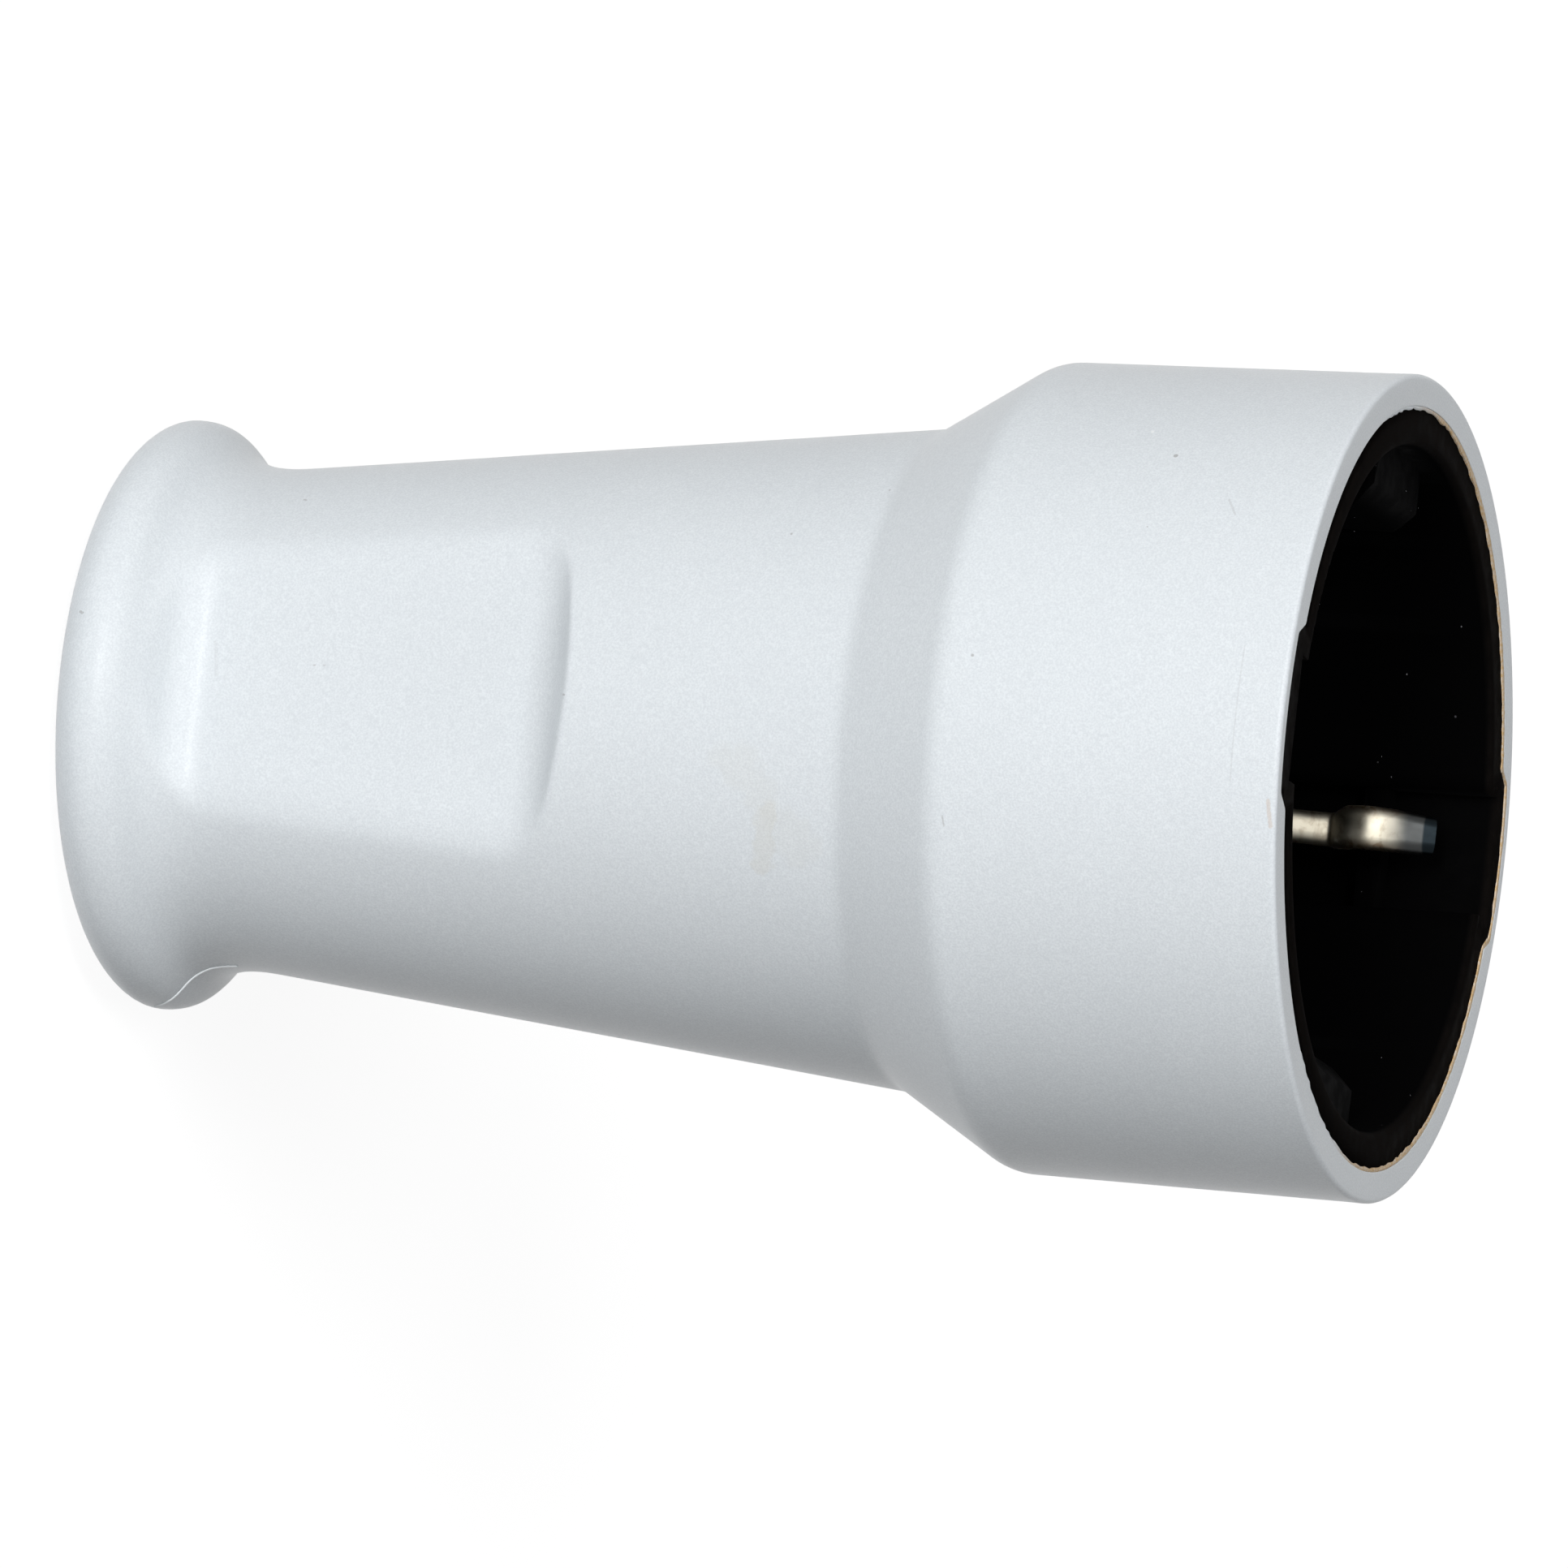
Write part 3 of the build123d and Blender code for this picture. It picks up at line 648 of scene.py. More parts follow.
def plain_plastic_finish(name, colour, roughness):
    """Moulded plastic of the hidden pieces."""
    finish = Finish(name, specular_ior_level=0.4)
    grain = finish.group(grain_group, grain_size=HIDDEN_GRAIN[0] * MM)
    patched = finish.mix(finish.times(grain["Patches"], 0.5), colour, darker(colour, 0.72))
    rough = finish.swing(grain["Mottle"], roughness, roughness + HIDDEN_ROUGHER)
    return finish.done(grain["Grain"], HIDDEN_GRAIN[1] * MM, base_color=patched, roughness=rough)


def metal_finish(name, colour, tarnish_colour, lines, roughness):
    """Metal with drawn lines and a thin uneven film."""
    finish = Finish(name, metallic=1.0)
    drawn = finish.group(drawn_group, stretch=lines)
    film = finish.times(drawn["Tarnish"], TARNISH_AMOUNT)
    shade = finish.swing(drawn["Lines"], 0.0, LINE_SHADE)
    lined = finish.mix(shade, colour, darker(colour, 0.7))
    filmed = finish.mix(film, lined, tarnish_colour)
    rough = finish.swing(drawn["Lines"], *(roughness + step for step in LINE_ROUGHNESS))
    rough = finish.math("ADD", rough, film)
    return finish.done(drawn["Lines"], LINE_DEPTH * MM, base_color=filmed, roughness=rough)


def plated_finish(settings):
    """Plated strip with a brown film, darkened by painted shade along its edges, over its bent tips and most
    on its ends.
    """
    finish = Finish("plated_strip", metallic=1.0)
    drawn = finish.group(drawn_group, stretch=STRIP_LINES, tarnish_size=0.8 * MM)
    place = finish.parts(finish.place)
    offset = finish.times(finish.math("SIGN", place[1]), ARM_OFFSET * MM)
    away = finish.math("ABSOLUTE", finish.math("ADD", place[0], offset))
    # Painted shade along both edges of the strip, in the tarnish's brown, on top of the tarnish film
    edge = finish.times(finish.band(away, EDGE_SHADE_OFFSETS), EDGE_SHADE_AMOUNT)
    film = finish.math("ADD", finish.times(drawn["Tarnish"], FILM_AMOUNT), edge)
    colour = finish.mix(film, settings.plated_colour, settings.tarnish_colour)
    # Painted shade over the bent tips, then darker painted shade on the ends
    colour = finish.mix(finish.band(place[2], TIP_SHADE_LEVELS), colour, settings.tip_shade_colour)
    colour = finish.mix(finish.band(place[2], END_SHADE_LEVELS), colour, settings.end_shade_colour)
    rough = finish.swing(drawn["Lines"], 0.3, 0.42)
    return finish.done(drawn["Lines"], STRIP_LINE_DEPTH * MM, base_color=colour, roughness=rough)


def from_table(value, table):
    """A value read from a table of pairs, evenly between its rows."""
    return np.interp(value, *zip(*table))


def arc(centre, radius, start, end, count):
    """Points on an arc between two angles in degrees."""
    angles = np.radians(np.linspace(start, end, count))
    return [(centre[0] + radius * math.cos(t), centre[1] + radius * math.sin(t)) for t in angles]


def rounded(before, corner, after, radius, count):
    """Points of the round that takes off a corner of an outline."""
    corner = Vector(corner)
    back = (Vector(before) - corner).normalized()
    on = (Vector(after) - corner).normalized()
    half = back.angle(on) / 2
    centre = corner + (back + on).normalized() * radius / math.sin(half)
    start = corner + back * radius / math.tan(half) - centre
    turn = start.angle_signed(corner + on * radius / math.tan(half) - centre)
    points = []
    for share in np.linspace(0, 1, count):
        spoke = start.copy()
        spoke.rotate(Matrix.Rotation(-turn * share, 2))
        points.append(tuple(centre + spoke))
    return points


def bezier(first, second, third, last, count):
    """Points on a cubic curve without its first one."""
    points = []
    for t in np.linspace(0, 1, count)[1:]:
        weights = ((1 - t) ** 3, 3 * t * (1 - t) ** 2, 3 * t * t * (1 - t), t**3)
        points.append(tuple(np.dot(weights, (first, second, third, last))))
    return points


def outside_outline():
    """Outline of the hood from the widest ring of its bead up to the round at its mouth."""
    neck = (NECK_RADIUS, NECK_LEVEL)
    cone_end = (CONE_RADIUS, CONE_LEVEL)
    collar = (COLLAR_RADIUS, COLLAR_LEVEL)
    mouth = (MOUTH_RADIUS, MOUTH_LEVEL)
    points = [(BEAD_RADIUS, BEAD_RISE)]
    low_handle = (BEAD_RADIUS, BEAD_RISE + BEAD_HANDLE)
    high_handle = (NECK_RADIUS - NECK_HANDLE * CONE_TAPER, NECK_LEVEL - NECK_HANDLE)
    points += bezier(points[0], low_handle, high_handle, neck, 26)
    points += rounded(neck, cone_end, collar, SHOULDER_FILLET, 9)
    points += rounded(cone_end, collar, mouth, SHOULDER_ROUND, 12)
    points += rounded(collar, mouth, (0, MOUTH_LEVEL), MOUTH_ROUND, 9)[:1]
    return points


OUTLINE = np.array(outside_outline())


def outside_radius(level):
    return np.interp(level, OUTLINE[:, 1], OUTLINE[:, 0])


def flat_outline(deeper):
    """Distance of a finger flat from the middle plane and level, from one sloped end wall to the other."""
    shift = deeper * math.tan(FLAT_END_ANGLE / 2)
    levels = (FLAT_LOW - shift, FLAT_HIGH + shift)
    low, high = ((FLAT_DISTANCE - deeper + (level - FLAT_LOW) * FLAT_SLOPE, level) for level in levels)
    spread = FLAT_END_REACH * math.tan(FLAT_END_ANGLE)
    low_wall = (low[0] + spread, low[1] - FLAT_END_REACH)
    high_wall = (high[0] + spread, high[1] + FLAT_END_REACH)
    low_round = rounded(low_wall, low, high, FLAT_LOW_ROUND + deeper, 12)
    high_round = rounded(low, high, high_wall, FLAT_HIGH_ROUND + deeper, 12)
    return np.array([low_wall] + low_round + high_round + [high_wall])


FLAT_OUTLINE = flat_outline(0)
INNER_FLAT_OUTLINE = flat_outline(WALL)


def flat_distance(level, outline):
    """Distance of a finger flat from the middle plane at a level, and far off past its ends."""
    return np.interp(level, outline[:, 1], outline[:, 0], left=1e3, right=1e3)


def flat_softness(level):
    """How softly the finger flat runs out into the hood at a level."""
    past_end = max(FLAT_LOW - level, level - FLAT_HIGH)
    end_share = np.clip((past_end + FLAT_SOFT_RUN) / FLAT_SOFT_RUN, 0, 1)
    return FLAT_SIDE_SOFTNESS + (FLAT_END_SOFTNESS - FLAT_SIDE_SOFTNESS) * end_share


def outside_levels():
    """Levels of the rows on the outside, close together where the form turns sharply."""
    levels = np.sort(np.concatenate([OUTLINE[:, 1]] + [np.arange(*rows) for rows in OUTSIDE_ROWS]))
    return levels[np.append(True, np.diff(levels) > LEAST_ROW)]


def notch_side():
    """Angle from the notch's middle and radius along one sloped side of a key notch, from crest to foot."""
    foot = math.sqrt(BORE_RADIUS**2 - KEY_HALF**2)
    slant = KEY_SIDE_RUN / KEY_HEIGHT
    corners = []
    for radius in (KEY_RADIUS, BORE_RADIUS):
        side = KEY_HALF
        for _ in range(8):
            side = KEY_HALF + KEY_SIDE_RUN / 2 - slant * (math.sqrt(radius**2 - side**2) - foot)
        corners.append((side, math.sqrt(radius**2 - side**2)))
    crest, foot = corners
    over_crest = (crest[0] - 1, math.sqrt(KEY_RADIUS**2 - (crest[0] - 1) ** 2))
    past_foot = (foot[0] + 1, math.sqrt(BORE_RADIUS**2 - (foot[0] + 1) ** 2))
    points = rounded(over_crest, crest, foot, KEY_ROUND, 7) + rounded(crest, foot, past_foot, KEY_ROUND, 7)
    return [(math.atan2(side, height), math.hypot(side, height)) for side, height in points]


def hood_columns(count):
    """Angles of the columns and the radius of the bore or of a key notch at each."""
    notch = notch_side()
    middles = (math.pi / 2, 3 * math.pi / 2)
    found = []
    for turn in np.linspace(0, 2 * math.pi, count, endpoint=False):
        away = min(abs(turn - middle) for middle in middles)
        if away < notch[0][0] - COLUMN_GAP:
            found.append((turn, KEY_RADIUS))
        elif away > notch[-1][0] + COLUMN_GAP:
            found.append((turn, BORE_RADIUS))
    for middle in middles:
        for away, radius in notch:
            found += [(middle - away, radius), (middle + away, radius)]
    return np.array(sorted(found))


def hood_surface(columns):
    """Rows of the hood's closed surface: the radius at every column and the level, in millimetres."""
    turns, key_bore = columns.T
    lean = np.maximum(np.abs(np.sin(turns)), 1e-6)
    rows = []

    def rings(points):
        rows.extend((np.full(len(turns), radius), level) for radius, level in points)

    rings((ENTRY_RADIUS, level) for level in np.linspace(CAVITY_LEVEL, ENTRY_LIP, 4)[:-1])
    rings(arc((ENTRY_RADIUS + ENTRY_LIP, ENTRY_LIP), ENTRY_LIP, 180, 270, 13))
    bead_middle = ENTRY_RADIUS + ENTRY_LIP + REAR_RING_WIDTH
    for reach, rise in arc((0, 1), 1, -90, 0, 18)[:-1]:
        rings([(bead_middle + (BEAD_RADIUS - bead_middle) * reach, BEAD_RISE * rise)])
    for level in outside_levels():
        radius = np.full(len(turns), outside_radius(level))
        softness = flat_softness(level)
        cut = flat_distance(level, FLAT_OUTLINE) / lean
        overlap = np.maximum(softness - np.abs(radius - cut), 0) / softness
        rows.append((np.minimum(radius, cut) - overlap**2 * softness / 4, level))
    face_outer = MOUTH_RADIUS - MOUTH_ROUND
    rings(arc((face_outer, MOUTH_LEVEL - MOUTH_ROUND), MOUTH_ROUND, 0, 90, 8)[1:])
    for share in FACE_SHARES:
        rows.append((face_outer + (key_bore - face_outer) * share, MOUTH_LEVEL))
    for drop, inset in INNER_EDGE:
        rows.append((key_bore + inset, MOUTH_LEVEL - drop))
    for level in np.linspace(MOUTH_LEVEL - 0.6, KEY_LEVEL, 8):
        rows.append((key_bore, level))
    bore = (
        (BORE_RADIUS, KEY_LEVEL - 0.004),
        (BORE_RADIUS, SNAP_LEVEL + SNAP_HALF),
        (SNAP_RADIUS, SNAP_LEVEL + SNAP_CREST_HALF),
        (SNAP_RADIUS, SNAP_LEVEL - SNAP_CREST_HALF),
        (BORE_RADIUS, SNAP_LEVEL - SNAP_HALF),
        (BORE_RADIUS, LEDGE_LEVEL + 3),
        (BORE_RADIUS, LEDGE_LEVEL),
        (LEDGE_RADIUS, LEDGE_LEVEL),
    )
    rings(bore)
    top = (CONE_RADIUS - WALL, CONE_LEVEL)
    low_radius = NECK_RADIUS + (CAVITY_LEVEL - NECK_LEVEL) * CONE_TAPER - WALL
    inner = [top] + [(top[0] - (CONE_LEVEL - z) * CONE_TAPER, z) for z in np.linspace(45, 10, 26)]
    inner += rounded(top, (low_radius, CAVITY_LEVEL), (0, CAVITY_LEVEL), CAVITY_ROUND, 6)
    for radius, level in inner:
        rows.append((np.minimum(radius, flat_distance(level, INNER_FLAT_OUTLINE) / lean), level))
    floor_radii = np.linspace(low_radius - CAVITY_ROUND - 0.5, ENTRY_RADIUS, 4)[:-1]
    rings((radius, CAVITY_LEVEL) for radius in floor_radii)
    return rows


def soft_wave(point, depth):
    """Slight inward waves of a soft moulded wall."""
    broad = noise.noise(point * BROAD_WAVES)
    short = noise.noise(point * SHORT_WAVES + SHORT_WAVE_SHIFT)
    return depth * min(0.0, -0.5 + 0.5 * (broad + 0.5 * short))


def around_axis(radii, turns, levels):
    """Points in metres from radii and levels in millimetres and angles."""
    return np.stack([radii * np.cos(turns), radii * np.sin(turns), levels], axis=-1) * MM


def grid_faces(row_count, column_count):
    """Faces of a grid whose rows and columns both close on themselves."""
    faces = []
    for i in range(row_count):
        row = i * column_count
        upper = (i + 1) % row_count * column_count
        for j in range(column_count):
            beside = (j + 1) % column_count
            faces.append((row + j, row + beside, upper + beside, upper + j))
    return faces


def build_hood(settings):
    """The hood, with slight waves in its outer wall."""
    columns = hood_columns(settings.columns)
    rows = hood_surface(columns)
    radii = np.array([radius for radius, _ in rows])
    row_levels = [level for _, level in rows]
    levels = np.tile(row_levels, (len(columns), 1)).T
    points = around_axis(radii, columns[:, 0], levels)
    waving = (levels > WAVE_LEVELS[0]) & (levels < WAVE_LEVELS[1])
    outside = waving & (radii > outside_radius(levels) - WAVE_REACH)
    outside[row_levels.index(MOUTH_LEVEL) :] = False
    for i, j in np.argwhere(outside):
        point = Vector(points[i, j])
        radial = Vector((point.x, point.y, 0)).normalized()
        points[i, j] = point + radial * soft_wave(point, settings.unevenness)
    mesh = bpy.data.meshes.new("hood")
    mesh.from_pydata(points.reshape(-1, 3).tolist(), [], grid_faces(*radii.shape))
    hood = new_piece("hood", mesh, hood_finish(settings))
    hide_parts("housing")


def new_piece(name, mesh, material):
    """An object for a finished mesh, smooth apart from its sharp edges, on the socket's one body."""
    mesh.name = name
    mesh.materials.clear()
    mesh.materials.append(material)
    mesh.shade_smooth()
    mesh.set_sharp_from_angle(angle=CREASE_ANGLE)
    piece = linked(name, mesh)
    even_normals(piece)
    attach(piece, "root")
    return piece


def linked(name, data):
    """A new object in the scene."""
    made = bpy.data.objects.new(name, data)
    bpy.context.scene.collection.objects.link(made)
    return made


def evaluated_mesh(holder):
    """A plain mesh of an object with its modifiers applied."""
    graph = bpy.context.evaluated_depsgraph_get()
    return bpy.data.meshes.new_from_object(holder.evaluated_get(graph), depsgraph=graph)


def even_normals(piece):
    """Lets the large faces of a piece set its shading, so that flats stay flat beside their rounds."""
    modifier = piece.modifiers.new("even_normals", "WEIGHTED_NORMAL")
    modifier.keep_sharp = True
    evened = evaluated_mesh(piece)
    piece.modifiers.remove(modifier)
    plain = piece.data
    piece.data = evened
    bpy.data.meshes.remove(plain)


def merged_mesh(node):
    """A copy of a solid's mesh with its loose triangles joined."""
    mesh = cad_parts[node].data.copy()
    form = bmesh.new()
    form.from_mesh(mesh)
    bmesh.ops.remove_doubles(form, verts=form.verts, dist=MERGE_DISTANCE)
    bmesh.ops.dissolve_degenerate(form, edges=form.edges, dist=MERGE_DISTANCE)
    form.to_mesh(mesh)
    form.free()
    return mesh


def dress(name, node, material, shaped=None):
    """A merged smooth piece in place of a solid, with its mesh worked over by a function where it has one."""
    mesh = merged_mesh(node)
    if shaped:
        shaped(mesh)
    piece = new_piece(name, mesh, material)
    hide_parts(node)
    return piece


def grown(make, base, **values):
    """The plain mesh that a geometry group makes of a base mesh with named values."""
    holder = linked("holder", base)
    modifier = holder.modifiers.new("grow", "NODES")
    modifier.node_group = shared(make)
    named = {label(key): value for key, value in values.items()}
    for item in modifier.node_group.interface.items_tree:
        if item.name in named:
            modifier[item.identifier] = named[item.name]
    mesh = evaluated_mesh(holder)
    holder.modifiers.remove(modifier)
    bpy.data.objects.remove(holder)
    return mesh


def end_tree(sheet, given, out, geometry):
    """Closes a geometry tree: instances made real and the material set."""
    real = sheet.first("GeometryNodeRealizeInstances", {0: geometry})
    dressed = sheet.first("GeometryNodeSetMaterial", {"Geometry": real, "Material": given["Material"]})
    sheet.feed(out["Geometry"], dressed)
    return sheet.tree


def thread_tree():
    """A screw thread: a sharp ridge that follows a helix along Z."""
    sheet, given, out = geometry_group(
        "Screw thread", radius=2 * MM, pitch=0.8 * MM, length=5 * MM, depth=0.2 * MM
    )
    core = sheet.math("SUBTRACT", given["Radius"], given["Depth"])
    inputs = {
        "Resolution": 28,
        "Rotations": sheet.over(given["Length"], given["Pitch"]),
        "Start Radius": core,
        "End Radius": core,
        "Height": given["Length"],
        "Reverse": True,
    }
    helix = sheet.first("GeometryNodeCurveSpiral", inputs)
    ridge = sheet.first("GeometryNodeCurvePrimitiveCircle", {"Resolution": 4, "Radius": given["Depth"]})
    inputs = {"Curve": helix, "Profile Curve": ridge, "Fill Caps": True}
    return end_tree(sheet, given, out, sheet.first("GeometryNodeCurveToMesh", inputs))


def rag_tree():
    """A ragged lip that follows a line on the hood and reaches inwards by noise, up to a top level."""
    sheet, given, out = geometry_group(
        "Ragged edge", rag_size=0.5 * MM, top=(MOUTH_LEVEL - 0.004) * MM, seed=3.0
    )
    place = sheet.first("GeometryNodeInputPosition")
    reach = sheet.first("GeometryNodeInputNamedAttribute", {"Name": "reach"}, data_type="FLOAT")
    scale = sheet.over(1.0, given["Rag Size"])
    inputs = {"Vector": place, "W": given["Seed"], "Scale": scale, "Detail": 4.0, "Roughness": 0.65}
    ragged = sheet.first("ShaderNodeTexNoise", inputs, noise_dimensions="4D")
    half_reach = sheet.times(reach, sheet.between(ragged, *RAG_NOISE, *RAG_HALF_REACH))
    outwards = sheet.vector("NORMALIZE", sheet.vector("MULTIPLY", place, (1.0, 1.0, 0.0)))
    offset = sheet.vector("SCALE", sheet.vector("SUBTRACT", ORIGIN, outwards), Scale=half_reach)
    path = sheet.first("GeometryNodeMeshToCurve", {"Mesh": given["Geometry"]})
    sized = sheet.first("GeometryNodeSetCurveRadius", {"Curve": path, "Radius": half_reach})
    moved = sheet.first("GeometryNodeSetPosition", {"Geometry": sized, "Offset": offset})
    profile = sheet.first("GeometryNodeCurvePrimitiveCircle", {"Resolution": 8, "Radius": 1.0})
    radius = sheet.first("GeometryNodeInputRadius")
    inputs = {"Curve": moved, "Profile Curve": profile, "Scale": radius, "Fill Caps": True}
    lip = sheet.first("GeometryNodeCurveToMesh", inputs)
    parts = sheet.parts(place)
    held = sheet.joined(parts[0], parts[1], sheet.math("MINIMUM", parts[2], given["Top"]))
    capped = sheet.first("GeometryNodeSetPosition", {"Geometry": lip, "Position": held})
    return end_tree(sheet, given, out, capped)


def flake_tree():
    """Flakes of dust on the walls and the floor of the well."""
    sheet, given, out = geometry_group(
        "Dust", flakes=24000.0, flake_size=0.07 * MM, well_radius=19.8 * MM, floor=59.2 * MM, seed=5
    )
    place = sheet.first("GeometryNodeInputPosition")
    distance = sheet.vector("LENGTH", sheet.vector("MULTIPLY", place, (1.0, 1.0, 0.0)))
    inside = sheet.math("LESS_THAN", distance, given["Well Radius"])
    within = sheet.times(inside, sheet.math("GREATER_THAN", sheet.parts(place)[2], given["Floor"]))
    inputs = {"Mesh": given["Geometry"], "Selection": within, "Density": given["Flakes"]}
    spread = sheet.add("GeometryNodeDistributePointsOnFaces", {**inputs, "Seed": given["Seed"]}).outputs
    flake = sheet.first("GeometryNodeMeshIcoSphere", {"Radius": given["Flake Size"], "Subdivisions": 1})
    limits = {0: FLAKE_LEAST, 1: FLAKE_GREATEST}
    sizes = sheet.add("FunctionNodeRandomValue", limits, data_type="FLOAT_VECTOR")
    sheet.feed(sizes.inputs["Seed"], given["Seed"])
    inputs = {
        "Points": spread["Points"],
        "Instance": flake,
        "Rotation": spread["Rotation"],
        "Scale": sizes.outputs[0],
    }
    return end_tree(sheet, given, out, sheet.first("GeometryNodeInstanceOnPoints", inputs))


def build_dust(cup, settings):
    """Dust on the inner walls of the insert."""
    colour = settings.dust_colour
    dust = cloudy_finish("dust", colour, darker(colour, 0.6), scale=9000.0, roughness=0.9, specular=0.1)
    values = {"flakes": settings.flakes, "flake_size": settings.flake_size, "material": dust}
    new_piece("well_dust", grown(flake_tree, cup.data.copy(), **values), dust)


def ragged_line(name, points, edges, reach, settings, material):
    """A ragged lip along a line of points."""
    base = bpy.data.meshes.new("line")
    base.from_pydata(points.tolist(), edges, [])
    base.attributes.new("reach", "FLOAT", "POINT").data.foreach_set("value", reach * MM)
    mesh = grown(rag_tree, base, rag_size=settings.rag_size, material=material)
    new_piece(name, mesh, material)


def build_flash(settings):
    """The thin flash where the two halves of the mould met on the bead."""
    levels = np.linspace(FLASH_LINE[0][0], FLASH_LINE[-1][0], FLASH_POINTS)
    turns = np.radians(from_table(levels, FLASH_LINE))
    points = around_axis(outside_radius(levels) + FLASH_HEIGHT, turns, levels)
    edges = [(i, i + 1) for i in range(FLASH_POINTS - 1)]
    # The pale in the flash's colour is a painted highlight along its ridge
    shades = (settings.pale_colour, settings.colour)
    pale = cloudy_finish("mould_flash", *shades, scale=3000.0, roughness=0.5, specular=0.2)
    ragged_line("mould_flash", points, edges, np.full(FLASH_POINTS, FLASH_REACH), settings, pale)


def build_rags(settings):
    """The ragged edge round the mouth."""
    turns, radii = hood_columns(settings.columns).T
    count = len(turns)
    reach = from_table((np.degrees(turns) + 180) % 360 - 180, RAG_REACH)
    points = around_axis(radii + RAG_INSET, turns, np.full(count, MOUTH_LEVEL - RAG_DROP))
    edges = [(i, (i + 1) % count) for i in range(count)]
    ragged_line("mouth_rags", points, edges, reach, settings, rag_finish(settings))


def build_insert(settings):
    """The black insert with its dust, and the carrier and the cord clamp behind it."""
    black = insert_finish(settings)
    cup = dress("insert_cup", "socket_insert", black)
    build_dust(cup, settings)
    grey = plain_plastic_finish("carrier_plastic", settings.carrier_colour, roughness=0.42)
    dress("carrier", "contact_carrier", grey)
    pale = plain_plastic_finish("saddle_plastic", settings.saddle_colour, roughness=0.4)
    dress("clamp_saddle", "cord_saddle", pale)
    dress("clamp_cradle", "cord_cradle", pale)


def arm_line():
    """Points of the earth arm's middle line with its bends rounded, at even steps."""
    corners = [corner[:2] for corner in ARM_PATH]
    points = [corners[0]]
    for before, corner, after, (_, _, bend) in zip(corners, corners[1:], corners[2:], ARM_PATH[1:]):
        points += rounded(before, corner, after, bend, 14)
    points = np.array(points + [corners[-1]])
    run = np.append(0, np.cumsum(np.hypot(*np.diff(points, axis=0).T)))
    steps = np.linspace(0, run[-1], int(run[-1] / ARM_STEP))
    return np.stack([np.interp(steps, run, points[:, 0]), np.interp(steps, run, points[:, 1])], axis=1)


def arm_section(width):
    """Section of the earth arm, across it and through it, with its edges rounded."""
    half_width = width / 2
    half_thickness = ARM_THICKNESS / 2
    points = []
    for side_x, side_y, start in ((1, 1, 0), (-1, 1, 90), (-1, -1, 180), (1, -1, 270)):
        centre = Vector((side_x * (half_width - ARM_EDGE_WIDTH), side_y * (half_thickness - ARM_EDGE_DEPTH)))
        for across, through in arc((0, 0), 1, start, start + 90, 7):
            points.append(centre + Vector((across * ARM_EDGE_WIDTH, through * ARM_EDGE_DEPTH)))
    return points


def add_arm(form, side):
    """One swept earth arm: side is 1 or -1 along Y."""
    line = arm_line()
    along = np.gradient(line, axis=0)
    along /= np.linalg.norm(along, axis=1)[:, None]
    rings = []
    for (across, level), (run_y, run_z) in zip(line, along):
        ring = []
        for offset, through in arm_section(from_table(level, ARM_WIDTHS)):
            y = across - through * run_z
            z = level + through * run_y
            point = Vector((side * (offset - ARM_OFFSET), side * y, z)) * MM
            ring.append(form.verts.new(point))
        rings.append(ring)
    for low, high in zip(rings, rings[1:]):
        for i in range(len(low)):
            beside = (i + 1) % len(low)
            form.faces.new((low[i], low[beside], high[beside], high[i]))
    form.faces.new(list(reversed(rings[0])))
    form.faces.new(rings[-1])


def swept_arms(mesh):
    """Keeps the bridge of the earth bow and makes its arms again as swept strips."""
    form = bmesh.new()
    form.from_mesh(mesh)
    whole = form.verts[:] + form.edges[:] + form.faces[:]
    level = (0, 0, ARM_CUT_LEVEL * MM)
    cut = bmesh.ops.bisect_plane(form, geom=whole, plane_co=level, plane_no=(0, 0, 1), clear_outer=True)
    edges = [part for part in cut["geom_cut"] if isinstance(part, bmesh.types.BMEdge)]
    bmesh.ops.holes_fill(form, edges=edges)
    for side in (1, -1):
        add_arm(form, side)
    bmesh.ops.recalc_face_normals(form, faces=form.faces)
    form.to_mesh(mesh)
    form.free()


def threaded(node, material):
    """A function that draws in a screw's shank and winds the thread's ridge round it."""
    axis, low, high, radius, pitch = next(row for kind, row in THREADS.items() if node.startswith(kind))
    length = high - low
    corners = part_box(node)
    middle = (corners[0] + corners[1]) / 2
    if axis == "Z":
        place = Matrix.Translation((middle.x, middle.y, low * MM))
    else:
        place = Matrix.Translation((middle.x, low * MM, middle.z)) @ Matrix.Rotation(-math.pi / 2, 4, "X")
    values = {"radius": radius * MM, "pitch": pitch * MM, "length": length * MM, "depth": THREAD_DEPTH * MM}

    def shaped(mesh):
        back = place.inverted()
        for vertex in mesh.vertices:
            point = back @ vertex.co
            distance = math.hypot(point.x, point.y)
            on_shank = abs(distance - radius * MM) < SHANK_TOLERANCE * MM
            if on_shank and -THREAD_RUN_OUT * MM < point.z < (length + THREAD_RUN_OUT) * MM:
                share = 1 - THREAD_DEPTH * MM / distance
                vertex.co = place @ Vector((point.x * share, point.y * share, point.z))
        ridge = grown(thread_tree, bpy.data.meshes.new("thread"), **values, material=material)
        ridge.transform(place)
        form = bmesh.new()
        form.from_mesh(mesh)
        form.from_mesh(ridge)
        bmesh.ops.recalc_face_normals(form, faces=form.faces)
        form.to_mesh(mesh)
        form.free()

    return shaped


def add_screw(name, node, material):
    dress(name, node, material, threaded(node, material))


